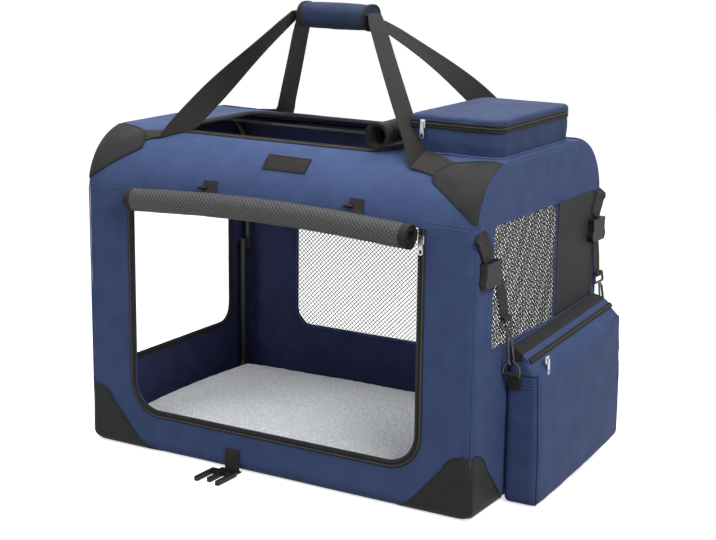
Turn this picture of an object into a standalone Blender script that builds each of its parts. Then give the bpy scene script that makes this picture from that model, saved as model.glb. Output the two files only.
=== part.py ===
"""Soft folding dog crate: cloth walls over a steel frame whose two ends fold at the knees.

Metres, +Z up. The front, with the rolled door, faces -Y, and the storage bag hangs at +X.
The origin is the middle of the flat underside.
"""
import math

import bmesh
import bpy
from mathutils import Matrix, Vector

# Body of the crate
body_length = 0.700
body_depth = 0.440
body_height = 0.520
shoulder_radius = 0.100
seam_rise = 0.008
end_seam_rise = 0.020
cloth = 0.003
trim = 0.0012
gap = 0.0003
overrun = 0.004
weld = 0.00001

# Floor
floor_thickness = 0.004
floor_corner = 0.020
pad_inset_x = 0.032
pad_inset_y = 0.048
pad_thickness = 0.026
pad_side_draw = 0.005
pad_crown_share = 0.24
pad_crown_power = 4

# Steel frame
tube_radius = 0.0065
sleeve_radius = 0.0100
sleeve_length = 0.026
sleeve_clearance = 0.0003
frame_inset = 0.018
lower_corner = 0.030
base_rail_inset = 0.090
top_rail_inset = 0.120
top_rail_bow_inset = 0.060
top_rail_bow_run = 0.075
top_rail_bow_drop = 0.0115
post_spacing = 0.0145
leg_overhang = 0.010
pin_radius = 0.0030
pin_head_radius = 0.0052
pin_head = 0.0016

# Door opening in the front panel
door_half_width = 0.256
door_sill = 0.073
door_corner = 0.045
binding_width = 0.012

# Windows and the opening at the left end
window_corner = 0.030
left_opening_half = 0.170
left_opening_low = 0.120
right_window_front = 0.166
right_window_back = 0.050
right_window_height = 0.181
right_window_corner = 0.006
right_window_below_seam = 0.009
left_opening_below_seam = 0.030
back_window_left = 0.230
back_window_right = 0.275
back_window_low = 0.120
back_window_below_seam = 0.023
net_thickness = 0.0012
net_strand = 0.0034

# Top opening
top_opening_left = 0.240
top_opening_right = 0.160
top_opening_front = 0.136
top_opening_back = 0.100
top_opening_corner = 0.030
top_binding_front_angle = 45.0
top_binding_back_angle = 60.0

# Rolled doors
door_roll_radius = 0.0190
door_roll_past_left = 0.008
door_roll_below_seam = 0.0105
tie_width = 0.013
tie_left_x = 0.111
tie_right_x = 0.154
tie_height = 0.030
top_roll_radius = 0.0175
top_roll_x = 0.150
top_roll_front = 0.150
top_roll_back = 0.110

# Bare patch on the front header
patch_left = 0.013
patch_right = 0.070
patch_height = 0.025
patch_angle = 46.0

# Corner patches
top_patch_reach = 0.067
top_patch_upper_reach = 0.050
top_patch_low_angle = 13.0
top_patch_tip_angle = 48.0
top_patch_upper_angle = 72.0
top_patch_high_angle = 84.0
foot_patch_front = 0.117
foot_patch_side = 0.112
foot_patch_height = 0.094
foot_patch_shoulder = 0.030
foot_patch_drop_share = 0.02

# Storage box on the roof
box_left = 0.186
box_right = 0.336
box_front = 0.126
box_back = 0.115
box_tub_height = 0.042
box_lid_height = 0.016
box_wall = 0.003
box_corner = 0.012

# Carry handle
webbing_width = 0.038
webbing = 0.0020
grip_length = 0.125
grip_half_width = 0.0260
grip_half_height = 0.0210
grip_height = 0.180
grip_x = -0.015
strap_foot_x = 0.235
strap_foot_angle = 58.0
strap_stack = 0.0120
strap_start_y = 0.007
strap_lead = 0.008
strap_start_spread = 0.018
strap_start_rise = 0.018
strap_end_run = 0.015
strap_end_spread = 0.052
strap_end_rise = 0.012
left_slack_share = 0.35
ribbon_skew_steps = 3
strap_lift_share = 1.1

# Zip sliders and pulls
slider_width = 0.009
slider_length = 0.013
slider_depth = 0.004
slider_bevel_share = 0.3
pull_width = 0.008
pull_length = 0.024
pull_thickness = 0.0016
pull_slot = 0.0022
pull_neck_share = 0.5
pull_hole_share = 0.9
door_slider_from_door = 0.008
door_slider_below_seam = 0.016
box_slider_from_left = 0.012
bag_slider_from_front = 0.030

# Side-release buckles
buckle_width = 0.052
buckle_length = 0.036
buckle_thickness = 0.012
buckle_wall = 0.0022
buckle_waist_share = 0.84
buckle_mouth_share = 0.86
buckle_head_share = 0.90
buckle_belly_share = 0.25
buckle_waist_height_share = 0.55
buckle_solid_share = 0.30
buckle_front_y = 0.188
buckle_back_y = 0.192
tab_above_seam = 0.015
tab_below_seam = 0.054
male_width = 0.046
male_length = 0.054
male_thickness = 0.0070
male_prong = 0.0065
male_bar = 0.0050
male_slot_share = 0.35
male_middle_share = 0.86
male_floor = 0.0012
front_strap_x = -0.068
front_strap_top = 0.036
front_strap_tail = 0.014

# Storage bag on the right end
bag_depth = 0.050
bag_front = 0.115
bag_back = 0.198
bag_below_loop = 0.052
bag_lid_height = 0.014
bag_wall = 0.003
bag_corner = 0.012
bag_foot = 0.0015

# Bag rings, hooks and hangers
ring_wire = 0.0018
ring_half_width = 0.0130
ring_height = 0.0200
ring_side_gap = 0.0150
ring_below_seam = 0.018
hook_wire = 0.0022
hook_half_width = 0.0085
hook_eye_half_width = 0.0155
hook_eye_height = 0.0130
hook_eye_corner = 0.0040
hook_gate_share = 0.8
hanger_below_seam = 0.096
hanger_width = 0.025
hanger_length = 0.054

# Levels and directions worked out from the sizes above
half_length = body_length / 2
half_depth = body_depth / 2
shoulder_y = half_depth - shoulder_radius
shoulder_z = body_height - shoulder_radius
seam_height = shoulder_z + seam_rise
end_seam_height = shoulder_z + end_seam_rise
right_window_high = end_seam_height - right_window_below_seam
right_window_low = right_window_high - right_window_height
left_opening_high = end_seam_height - left_opening_below_seam
back_window_high = seam_height - back_window_below_seam
wall_foot = floor_thickness + gap
inner_y = half_depth - cloth
frame_x = half_length - frame_inset
base_pivot = floor_thickness + gap + sleeve_radius
top_pivot = body_height - cloth - gap - sleeve_radius
knee = (base_pivot + top_pivot) / 2
hoop_corner = top_pivot - shoulder_z
hoop_y = shoulder_y + hoop_corner
post_y = hoop_y - post_spacing
grip_z = body_height + grip_height
outer_face = gap + trim
roll_y = -half_depth - gap - webbing - gap - door_roll_radius - gap
roll_z = seam_height - door_roll_below_seam
tie_angle = math.degrees(tie_height / shoulder_radius)
box_floor = body_height + gap
box_seam = box_floor + box_tub_height
base_rail_y = half_depth - base_rail_inset
top_rail_y = half_depth - top_rail_inset
top_rail_bow_y = half_depth - top_rail_bow_inset
door_roll_left = door_half_width + door_roll_past_left
door_roll_right = door_half_width
door_slider_x = door_half_width + door_slider_from_door
door_slider_z = seam_height - door_slider_below_seam
tab_top = end_seam_height + tab_above_seam
tab_bottom = end_seam_height - tab_below_seam
tab_face = half_length + gap + webbing
hanger_top = end_seam_height - hanger_below_seam
hanger_loop_z = hanger_top - hanger_length
bag_top = hanger_loop_z - bag_below_loop
bag_inner_x = half_length + outer_face + gap
bag_outer_x = half_length + bag_depth
bag_seam = bag_top - bag_lid_height
ring_x = bag_inner_x + ring_half_width + ring_wire
ring_z = bag_seam - ring_below_seam
hook_hold = ring_wire + gap
hanger_hold = hook_wire + gap
hanger_loop_x = half_length + gap * 2 + hanger_hold + webbing
hook_foot_z = ring_z + ring_height - ring_wire - gap - hook_wire

crate = bpy.data.collections.new("folding_dog_crate")
cutters = bpy.data.collections.new("cutters")


def clear_scene():
    for obj in list(bpy.data.objects):
        bpy.data.objects.remove(obj, do_unlink=True)
    bpy.context.scene.collection.children.link(crate)
    bpy.context.scene.collection.children.link(cutters)


def material(name, colour, roughness, metallic=0.0):
    look = bpy.data.materials.new(name)
    look.use_nodes = True
    shader = look.node_tree.nodes["Principled BSDF"]
    shader.inputs["Base Color"].default_value = (*colour, 1.0)
    shader.inputs["Roughness"].default_value = roughness
    shader.inputs["Metallic"].default_value = metallic
    return look


def add(name, mesh, look=None):
    """A new object in the crate's collection, or a cutter where it has no material."""
    obj = bpy.data.objects.new(name, mesh)
    if look is None:
        obj.hide_render = True
        obj.display_type = "WIRE"
        cutters.objects.link(obj)
        return obj
    obj.data.materials.append(look)
    crate.objects.link(obj)
    return obj


def set_origin(obj, point):
    """Moves the object's origin to the point and leaves its shape where it is."""
    place = Vector(point)
    obj.data.transform(Matrix.Translation(-place))
    obj.location = place
    return obj


# Shapes

def block(name, low, high, look=None):
    shape = bmesh.new()
    bmesh.ops.create_cube(shape, size=1.0)
    low = Vector(low)
    high = Vector(high)
    bmesh.ops.scale(shape, vec=high - low, verts=shape.verts)
    bmesh.ops.translate(shape, vec=(low + high) / 2, verts=shape.verts)
    mesh = bpy.data.meshes.new(name)
    shape.to_mesh(mesh)
    shape.free()
    return add(name, mesh, look)


def rod(name, start, end, radius, look=None, sides=20):
    start = Vector(start)
    end = Vector(end)
    run = end - start
    shape = bmesh.new()
    bmesh.ops.create_cone(shape, cap_ends=True, segments=sides, radius1=radius, radius2=radius,
                          depth=run.length)
    turn = run.to_track_quat("Z", "Y").to_matrix().to_4x4()
    bmesh.ops.transform(shape, matrix=Matrix.Translation((start + end) / 2) @ turn,
                        verts=shape.verts)
    mesh = bpy.data.meshes.new(name)
    shape.to_mesh(mesh)
    shape.free()
    return add(name, mesh, look)


def from_curve(name, curve, place, look):
    """Turns a curve into a welded mesh object and removes the curve."""
    source = bpy.data.objects.new(name + "_curve", curve)
    source.matrix_world = place
    bpy.context.scene.collection.objects.link(source)
    bpy.context.view_layer.update()
    view = bpy.context.evaluated_depsgraph_get()
    mesh = bpy.data.meshes.new_from_object(source.evaluated_get(view))
    shape = bmesh.new()
    shape.from_mesh(mesh)
    bmesh.ops.remove_doubles(shape, verts=shape.verts, dist=weld)
    bmesh.ops.transform(shape, matrix=source.matrix_world, verts=shape.verts)
    bmesh.ops.recalc_face_normals(shape, faces=shape.faces)
    shape.to_mesh(mesh)
    shape.free()
    mesh.materials.clear()
    bpy.data.objects.remove(source, do_unlink=True)
    mesh.name = name
    return add(name, mesh, look)


# Each flat outline is drawn in two of the axes and is thick along the third
outline_axes = {
    "X": Matrix(((0, 0, 1, 0), (1, 0, 0, 0), (0, 1, 0, 0), (0, 0, 0, 1))),
    "Y": Matrix(((1, 0, 0, 0), (0, 0, -1, 0), (0, 1, 0, 0), (0, 0, 0, 1))),
    "Z": Matrix.Identity(4),
}
outline_normal = {"X": Vector((1, 0, 0)), "Y": Vector((0, 1, 0)), "Z": Vector((0, 0, 1))}


def flat(name, outlines, axis, start, end, look=None):
    """A flat outline, with any further outlines as holes, between two planes along an axis."""
    curve = bpy.data.curves.new(name, "CURVE")
    curve.dimensions = "2D"
    curve.fill_mode = "BOTH"
    curve.extrude = abs(end - start) / 2
    for outline in outlines:
        spline = curve.splines.new("POLY")
        spline.points.add(len(outline) - 1)
        for point, (across, up) in zip(spline.points, outline):
            point.co = (across, up, 0.0, 1.0)
        spline.use_cyclic_u = True
    place = Matrix.Translation(outline_normal[axis] * (start + end) / 2) @ outline_axes[axis]
    return from_curve(name, curve, place, look)


def tube(name, points, radius, look=None, closed=False, resolution=2):
    curve = bpy.data.curves.new(name, "CURVE")
    curve.dimensions = "3D"
    curve.bevel_depth = radius
    curve.bevel_resolution = resolution
    curve.use_fill_caps = not closed
    spline = curve.splines.new("POLY")
    spline.points.add(len(points) - 1)
    for point, place in zip(spline.points, points):
        point.co = (*place, 1.0)
    spline.use_cyclic_u = closed
    return from_curve(name, curve, Matrix.Identity(4), look)


def combine(obj, other, operation):
    """A boolean whose second shape stays in the cutters' collection."""
    if other.name in crate.objects:
        crate.objects.unlink(other)
        cutters.objects.link(other)
    other.hide_render = True
    other.display_type = "WIRE"
    change = obj.modifiers.new(operation.lower(), "BOOLEAN")
    change.operation = operation
    change.solver = "EXACT"
    change.object = other
    return obj


def cut(obj, other):
    return combine(obj, other, "DIFFERENCE")


def join(obj, other):
    return combine(obj, other, "UNION")


def keep(obj, other):
    return combine(obj, other, "INTERSECT")


# Outlines

def arc(centre, radius, start, end, steps=8):
    points = []
    for step in range(steps + 1):
        angle = math.radians(start + (end - start) * step / steps)
        points.append((centre[0] + radius * math.cos(angle), centre[1] + radius * math.sin(angle)))
    return points


def rounded(low, high, radius, steps=5):
    """A rectangle with round corners."""
    left, bottom = low
    right, top = high
    points = arc((right - radius, top - radius), radius, 0, 90, steps)
    points += arc((left + radius, top - radius), radius, 90, 180, steps)
    points += arc((left + radius, bottom + radius), radius, 180, 270, steps)
    points += arc((right - radius, bottom + radius), radius, 270, 360, steps)
    return points


def shoulder(offset, start, end, side, steps=10):
    """Points round one shoulder, from an angle above the horizontal to another."""
    points = []
    for across, up in arc((0.0, 0.0), shoulder_radius + offset, start, end, steps):
        points.append((side * (shoulder_y + across), shoulder_z + up))
    return points


def section(inset, foot, top):
    """The crate's section from foot to top, drawn in a little from its outer face."""
    radius = shoulder_radius - inset
    low = math.degrees(math.asin(max(foot - shoulder_z, 0.0) / radius))
    high = math.degrees(math.asin(min(top - shoulder_z, radius) / radius))
    points = shoulder(-inset, low, high, -1) + shoulder(-inset, high, low, 1)
    if foot < shoulder_z:
        points = [(-half_depth + inset, foot)] + points + [(half_depth - inset, foot)]
    return points


def shoulder_strip(offset, thickness, start, end, side):
    """The outline of a strip of cloth laid round part of one shoulder."""
    outer = shoulder(offset + thickness, start, end, side)
    inner = shoulder(offset, end, start, side)
    return outer + inner


def shoulder_point(offset, angle, side):
    reach = shoulder_radius + offset
    up = math.radians(angle)
    return side * (shoulder_y + reach * math.cos(up)), shoulder_z + reach * math.sin(up)


# Floor

def floor_panel(look):
    low = (-half_length + trim, -half_depth + trim)
    high = (half_length - trim, half_depth - trim)
    flat("floor_panel", [rounded(low, high, floor_corner)], "Z", 0.0, floor_thickness, look)


def floor_pad(look):
    """A crowned cushion: its top swells and its sides are drawn in round the middle."""
    half_x = half_length - pad_inset_x
    half_y = half_depth - pad_inset_y
    low = base_pivot + tube_radius + gap
    shape = bmesh.new()
    bmesh.ops.create_cube(shape, size=2.0)
    bmesh.ops.subdivide_edges(shape, edges=shape.edges, cuts=5, use_grid_fill=True)
    for vert in shape.verts:
        across, along, up = vert.co
        edge_share = max(abs(across), abs(along)) ** pad_crown_power
        drawn = pad_side_draw * (1 - abs(up))
        crown_share = 1 - pad_crown_share * edge_share
        x = across * (half_x - drawn)
        y = along * (half_y - drawn)
        z = low + pad_thickness / 2 * (1 + up * (crown_share if up > 0 else 1))
        vert.co = (x, y, z)
    mesh = bpy.data.meshes.new("floor_pad")
    shape.to_mesh(mesh)
    shape.free()
    obj = add("floor_pad", mesh, look)
    smooth = obj.modifiers.new("smooth", "SUBSURF")
    smooth.levels = 1
    smooth.render_levels = 1


# Cloth walls

def front_panel(look):
    top = seam_height - gap
    edge = door_half_width
    outline = [(-half_length, wall_foot), (half_length, wall_foot), (half_length, top), (edge, top)]
    outline += arc((edge - door_corner, door_sill + door_corner), door_corner, 0, -90)
    outline += arc((-edge + door_corner, door_sill + door_corner), door_corner, -90, -180)
    outline += [(-edge, top), (-half_length, top)]
    flat("front_panel", [outline], "Y", -half_depth, -inner_y, look)


def front_binding(look):
    """Black tape round the sides and the sill of the front door."""
    top = seam_height - gap
    edge = door_half_width
    wide = edge + binding_width
    low = door_sill - binding_width
    outline = [(wide, top), (edge, top)]
    outline += arc((edge - door_corner, door_sill + door_corner), door_corner, 0, -90)
    outline += arc((-edge + door_corner, door_sill + door_corner), door_corner, -90, -180)
    outline += [(-edge, top), (-wide, top)]
    turn = door_corner + binding_width
    outline += arc((-wide + turn, low + turn), turn, 180, 270)
    outline += arc((wide - turn, low + turn), turn, 270, 360)
    flat("front_binding", [outline], "Y", -half_depth - gap - trim, -half_depth - gap, look)


def back_panel(look):
    top = seam_height - gap
    outline = [(-half_length, wall_foot), (half_length, wall_foot), (half_length, top),
               (-half_length, top)]
    window = rounded((-back_window_left, back_window_low), (back_window_right, back_window_high),
                     window_corner)
    flat("back_panel", [outline, window], "Y", inner_y, half_depth, look)


def end_panel(name, side, window, look):
    outline = section(cloth + gap, wall_foot, end_seam_height - gap)
    inner = side * (half_length - cloth)
    flat(name, [outline, window], "X", min(inner, side * half_length),
         max(inner, side * half_length), look)


def net(name, low, high, corner, columns, rows, axis, start, look):
    """A flat net in a window: a sheet of square holes between strands, round at its corners."""
    across = high[0] - low[0]
    up = high[1] - low[1]
    shape = bmesh.new()
    bmesh.ops.create_grid(shape, x_segments=2 * columns + 1, y_segments=2 * rows + 1, size=0.5)
    pitch_x = (across - net_strand) / columns
    pitch_y = (up - net_strand) / rows

    def spread(place, count, pitch):
        """Every second line of the grid is one strand on from the line before it."""
        line = round((place + 0.5) * (2 * count + 1))
        return (line // 2) * pitch + (line % 2) * net_strand

    holes = []
    for face in shape.faces:
        middle = face.calc_center_median()
        column = int((middle.x + 0.5) * (2 * columns + 1))
        row = int((middle.y + 0.5) * (2 * rows + 1))
        if column % 2 and row % 2:
            holes.append(face)
    bmesh.ops.delete(shape, geom=holes, context="FACES")
    for vert in shape.verts:
        x = low[0] + spread(vert.co.x, columns, pitch_x)
        y = low[1] + spread(vert.co.y, rows, pitch_y)
        # A corner of the sheet is drawn in to fit the window's round corner
        reach_x = max(low[0] + corner - x, x - high[0] + corner, 0.0) / corner
        reach_y = max(low[1] + corner - y, y - high[1] + corner, 0.0) / corner
        if reach_x > 0 and reach_y > 0:
            longer = max(reach_x, reach_y)
            pull = longer / math.hypot(reach_x, reach_y)
            middle_x = low[0] + corner if x < low[0] + corner else high[0] - corner
            middle_y = low[1] + corner if y < low[1] + corner else high[1] - corner
            x = middle_x + (x - middle_x) * pull
            y = middle_y + (y - middle_y) * pull
        vert.co = (x, y, 0.0)
    mesh = bpy.data.meshes.new(name)
    shape.to_mesh(mesh)
    shape.free()
    mesh.transform(Matrix.Translation(outline_normal[axis] * start) @ outline_axes[axis])
    obj = add(name, mesh, look)
    thick = obj.modifiers.new("thick", "SOLIDIFY")
    thick.thickness = net_thickness
    thick.offset = 0.0


def window_nets(look):
    inside = net_thickness
    low = (-right_window_front + gap, right_window_low + gap)
    high = (right_window_back - gap, right_window_high - gap)
    net("right_mesh", low, high, right_window_corner - gap, 12, 10, "X", half_length - cloth / 2,
        look)
    low = (-back_window_left + inside, back_window_low + inside)
    high = (back_window_right - inside, back_window_high - inside)
    net("back_mesh", low, high, window_corner - inside, 13, 7, "Y", half_depth - cloth / 2, look)


def foot_patch(name, side_x, side_y, look):
    """A dark patch round a bottom corner: one leaf on the long side, one on the end."""
    low = wall_foot
    tip = seam_height * foot_patch_drop_share
    corner_x = side_x * (half_length + outer_face)
    long_leaf = [(corner_x, low), (corner_x, low + foot_patch_height),
                 (side_x * (half_length - foot_patch_shoulder), low + foot_patch_height - tip),
                 (side_x * (half_length - foot_patch_front), low)]
    face = side_y * (half_depth + gap)
    leaf = flat(name, [long_leaf], "Y", min(face, face + side_y * trim),
                max(face, face + side_y * trim), look)
    corner_y = side_y * (half_depth + outer_face)
    short_leaf = [(corner_y, low), (corner_y, low + foot_patch_height),
                  (side_y * (half_depth - foot_patch_shoulder), low + foot_patch_height - tip),
                  (side_y * (half_depth - foot_patch_side), low)]
    face = side_x * (half_length + gap)
    other = flat(name + "_end", [short_leaf], "X", min(face, face + side_x * trim),
                 max(face, face + side_x * trim))
    join(leaf, other)


# Cloth cap over the top

def top_cap(look):
    """The roof, its shoulders and the header of each side, sewn as one."""
    outer = section(0.0, seam_height, body_height)
    inner = section(cloth, seam_height, body_height - cloth)
    cap = flat("top_cap", [outer], "X", -half_length, half_length, look)
    low = seam_height - overrun
    room = [(-half_depth + cloth, low)] + inner + [(half_depth - cloth, low)]
    cut(cap, flat("cap_room", [room], "X", -half_length + cloth, half_length - cloth))
    reach = half_depth - cloth - gap
    for side in (-1, 1):
        near = side * (half_length - cloth - trim)
        far = side * (half_length + overrun)
        cut(cap, block("end_notch", (min(near, far), -reach, low), (max(near, far), reach,
                                                                    end_seam_height)))
    hole = flat("cap_hole", [top_opening_outline(0.0)], "Z", seam_height, body_height + overrun)
    cut(cap, hole)


def top_opening_outline(wider):
    low = (-top_opening_left - wider, -top_opening_front - wider)
    high = (top_opening_right + wider, top_opening_back + wider)
    return rounded(low, high, top_opening_corner + wider)


def top_binding(look):
    """Black tape round the top opening, laid over the roof and down the front shoulder."""
    front = top_binding_front_angle
    back = top_binding_back_angle
    outer = shoulder(gap + trim, front, 90, -1) + shoulder(gap + trim, 90, back, 1)
    inner = shoulder(gap, back, 90, 1) + shoulder(gap, 90, front, -1)
    tape = flat("top_binding", [outer + inner], "X", -half_length + overrun,
                half_length - overrun, look)
    ring = flat("top_binding_ring", [top_opening_outline(binding_width), top_opening_outline(0.0)],
                "Z", seam_height, body_height + overrun)
    keep(tape, ring)


def top_patch(name, side_x, side_y, look):
    """A dark patch over a shoulder's end, cut to a point towards the middle."""
    strip = shoulder_strip(gap, trim, top_patch_low_angle, top_patch_high_angle, side_y)
    end = side_x * (half_length - gap)
    start = side_x * (half_length - top_patch_reach)
    patch = flat(name, [strip], "X", min(start, end), max(start, end), look)
    outline = [(end + side_x * overrun, shoulder_point(0.0, top_patch_low_angle, side_y)[1]),
               (start, shoulder_point(0.0, top_patch_tip_angle, side_y)[1]),
               (side_x * (half_length - top_patch_upper_reach),
                shoulder_point(0.0, top_patch_upper_angle, side_y)[1]),
               (side_x * (half_length - top_patch_upper_reach), body_height + overrun),
               (end + side_x * overrun, body_height + overrun)]
    keep(patch, flat(name + "_shape", [outline], "Y", -half_depth - overrun,
                     half_depth + overrun))


def bare_patch(look):
    """A small bare patch, flat against the rounded front header."""
    half_turn = math.degrees(patch_height / 2 / shoulder_radius)
    strip = shoulder_strip(gap, trim, patch_angle - half_turn, patch_angle + half_turn, -1)
    flat("bare_patch", [strip], "X", -patch_left, patch_right, look)


# Rolled doors

def front_door_roll(look):
    rod("front_door_roll", (-door_roll_left, roll_y, roll_z), (door_roll_right, roll_y, roll_z),
        door_roll_radius, look, sides=24)


def roll_tie(name, x, look):
    """A webbing band round the roll, sewn to the header above it."""
    start = (x - tie_width / 2, roll_y, roll_z)
    end = (x + tie_width / 2, roll_y, roll_z)
    band = rod(name, start, end, door_roll_radius + gap + webbing, look, sides=24)
    bore_start = (x - tie_width, roll_y, roll_z)
    bore_end = (x + tie_width, roll_y, roll_z)
    cut(band, rod(name + "_bore", bore_start, bore_end, door_roll_radius + gap, sides=24))
    face = -half_depth - gap
    leg = [(face, roll_z), (face, shoulder_z)]
    leg += shoulder(gap, 0, tie_angle, -1, 4)
    leg += shoulder(gap + webbing, tie_angle, 0, -1, 4)
    leg += [(face - webbing, shoulder_z), (face - webbing, roll_z)]
    tab = flat(name + "_tab", [leg], "X", x - tie_width / 2, x + tie_width / 2)
    cut(tab, rod(name + "_room", bore_start, bore_end, door_roll_radius + gap, sides=24))
    join(band, tab)


def top_door_roll(look):
    height = body_height + gap + top_roll_radius + trim + gap
    rod("top_door_roll", (top_roll_x, -top_roll_front, height),
        (top_roll_x, top_roll_back, height), top_roll_radius, look, sides=24)


# Storage box

def storage_tub(look):
    outline = rounded((box_left, -box_front), (box_right, box_back), box_corner)
    tub = flat("storage_tub", [outline], "Z", box_floor, box_seam, look)
    inner = rounded((box_left + box_wall, -box_front + box_wall),
                    (box_right - box_wall, box_back - box_wall), box_corner - box_wall)
    cut(tub, flat("storage_room", [inner], "Z", box_floor + box_wall, box_seam + overrun))


def storage_lid(look):
    outline = rounded((box_left, -box_front), (box_right, box_back), box_corner)
    low = box_seam + gap
    high = low + box_lid_height
    lid = flat("storage_lid", [outline], "Z", low, high, look)
    inner = rounded((box_left + box_wall, -box_front + box_wall),
                    (box_right - box_wall, box_back - box_wall), box_corner - box_wall)
    cut(lid, flat("lid_room", [inner], "Z", low - overrun, high - box_wall))
    set_origin(lid, (box_left, 0.0, low))


# Carry handle

def handle_grip(look):
    """The padded wrap: an oval turned along the straps, rounded at both ends."""
    grip = rod("handle_grip", (grip_x - grip_length / 2, 0.0, grip_z),
               (grip_x + grip_length / 2, 0.0, grip_z), grip_half_width, look, sides=28)
    flatten = Matrix.Diagonal((1.0, 1.0, grip_half_height / grip_half_width, 1.0))
    raise_grip = Matrix.Translation((0.0, 0.0, grip_z))
    grip.data.transform(raise_grip @ flatten @ raise_grip.inverted())
    set_origin(grip, (grip_x, 0.0, grip_z))


def ribbon(name, points, width_start, width_end, look=None):
    """A strip of webbing along a path, its width turning from one direction to another.

    Its first and last edges lie in the directions given, and between them it is square.
    """
    shape = bmesh.new()
    steps = len(points) - 1
    bmesh.ops.create_grid(shape, x_segments=steps, y_segments=1, size=0.5)
    grown = bmesh.ops.extrude_face_region(shape, geom=shape.faces[:])
    upper = [item for item in grown["geom"] if isinstance(item, bmesh.types.BMVert)]
    bmesh.ops.translate(shape, vec=(0, 0, 1), verts=upper)
    path = [Vector(point) for point in points]
    for vert in shape.verts:
        step = round((vert.co.x + 0.5) * steps)
        before = path[max(step - 1, 0)]
        after = path[min(step + 1, steps)]
        along = (after - before).normalized()
        square_share = min(step, steps - step, ribbon_skew_steps) / ribbon_skew_steps
        across = Vector(width_start).lerp(Vector(width_end), step / steps)
        across = (across - along * across.dot(along) * square_share).normalized()
        thick = along.cross(across).normalized()
        vert.co = (path[step] + across * webbing_width * vert.co.y
                   + thick * webbing * (vert.co.z - 0.5))
    bmesh.ops.recalc_face_normals(shape, faces=shape.faces)
    if shape.calc_volume(signed=True) < 0:
        bmesh.ops.reverse_faces(shape, faces=shape.faces)
    mesh = bpy.data.meshes.new(name)
    shape.to_mesh(mesh)
    shape.free()
    return add(name, mesh, look)


def bend(start, start_pull, end_pull, end, steps):
    """Points of the smooth curve that leaves start and arrives at end along their pulls."""
    corners = [Vector(corner) for corner in (start, start_pull, end_pull, end)]
    points = []
    for step in range(steps + 1):
        share = step / steps
        level = corners
        while len(level) > 1:
            level = [a.lerp(b, share) for a, b in zip(level, level[1:])]
        points.append(level[0])
    return points


def handle_strap(name, side_x, side_y, look):
    """Webbing from the grip's end to a shoulder, where it folds and runs to the corner patch."""
    stack = strap_stack / 2 * -side_y
    start = Vector((grip_x + side_x * (grip_length / 2 + gap), side_y * strap_start_y,
                    grip_z + stack))
    lead = start + Vector((side_x * strap_lead, 0.0, 0.0))
    lift = gap + webbing + webbing * strap_lift_share
    foot_y, foot_z = shoulder_point(lift, strap_foot_angle, side_y)
    end = Vector((side_x * strap_foot_x, foot_y, foot_z))
    slack = 1.0 if side_x > 0 else left_slack_share
    start_pull = lead.lerp(end, 1 / 3)
    start_pull += Vector((0.0, side_y * strap_start_spread, strap_start_rise)) * slack
    end_pull = lead.lerp(end, 2 / 3)
    end_pull += Vector((side_x * strap_end_run, side_y * strap_end_spread, strap_end_rise)) * slack
    points = [start] + bend(lead, start_pull, end_pull, end, 14)
    strap = ribbon(name, points, (0, side_y, 0), (side_x, 0, 0), look)
    half_turn = math.degrees(webbing_width / 2 / shoulder_radius)
    strip = shoulder_strip(gap, webbing, strap_foot_angle - half_turn,
                           strap_foot_angle + half_turn, side_y)
    near = side_x * (strap_foot_x - webbing_width / 2 - webbing)
    far = side_x * (half_length - top_patch_reach - gap)
    stub = flat(name + "_stub", [strip], "X", min(near, far), max(near, far))
    knot_y, knot_z = shoulder_point(gap + webbing * 1.5, strap_foot_angle, side_y)
    knot = tube(name + "_fold", [(near + side_x * webbing, knot_y, knot_z),
                                 (far - side_x * webbing, knot_y, knot_z)], webbing)
    join(strap, stub)
    join(strap, knot)


# Steel frame

def lower_frame(name, side, look):
    """A U of tube at one end: its cross tube turns in the base rails, its posts reach the knees."""
    x = side * frame_x
    points = [(x, -post_y, knee + leg_overhang)]
    for across, up in arc((-post_y + lower_corner, base_pivot + lower_corner), lower_corner,
                          180, 270, 6):
        points.append((x, across, up))
    for across, up in arc((post_y - lower_corner, base_pivot + lower_corner), lower_corner,
                          270, 360, 6):
        points.append((x, across, up))
    points.append((x, post_y, knee + leg_overhang))
    frame = tube(name, points, tube_radius, look)
    for side_y in (-1, 1):
        head = side_y * (hoop_y + tube_radius + gap)
        pin = rod(name + "_pin", (x, side_y * post_y, knee),
                  (x, head + side_y * pin_head, knee), pin_radius)
        cap = rod(name + "_pin_head", (x, head, knee), (x, head + side_y * pin_head, knee),
                  pin_head_radius)
        join(frame, pin)
        join(frame, cap)
    set_origin(frame, (x, 0.0, base_pivot))


def hoop(name, side, look):
    """An upside-down U of tube: its top tube turns in the top rails, its legs hang to the knees."""
    x = side * frame_x
    points = [(x, -hoop_y, knee - leg_overhang)]
    for across, up in shoulder(hoop_corner - shoulder_radius, 0, 90, -1, 8):
        points.append((x, across, up))
    for across, up in shoulder(hoop_corner - shoulder_radius, 90, 0, 1, 8):
        points.append((x, across, up))
    points.append((x, hoop_y, knee - leg_overhang))
    frame = tube(name, points, tube_radius, look)
    for side_y in (-1, 1):
        inner = side_y * (hoop_y - tube_radius - overrun)
        outer = side_y * (hoop_y + tube_radius + overrun)
        cut(frame, rod(name + "_bore", (x, inner, knee), (x, outer, knee), pin_radius + gap))
    set_origin(frame, (x, 0.0, knee))


def rail(name, points, y, z, look):
    """A long rail with a bearing sleeve at each end, bored for the cross tube."""
    bar = tube(name, points, tube_radius, look)
    for side in (-1, 1):
        start = (side * frame_x, y - sleeve_length / 2, z)
        end = (side * frame_x, y + sleeve_length / 2, z)
        join(bar, rod(name + "_sleeve", start, end, sleeve_radius, sides=24))
    for side in (-1, 1):
        start = (side * frame_x, y - sleeve_length, z)
        end = (side * frame_x, y + sleeve_length, z)
        cut(bar, rod(name + "_bore", start, end, tube_radius + sleeve_clearance, sides=24))


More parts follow.
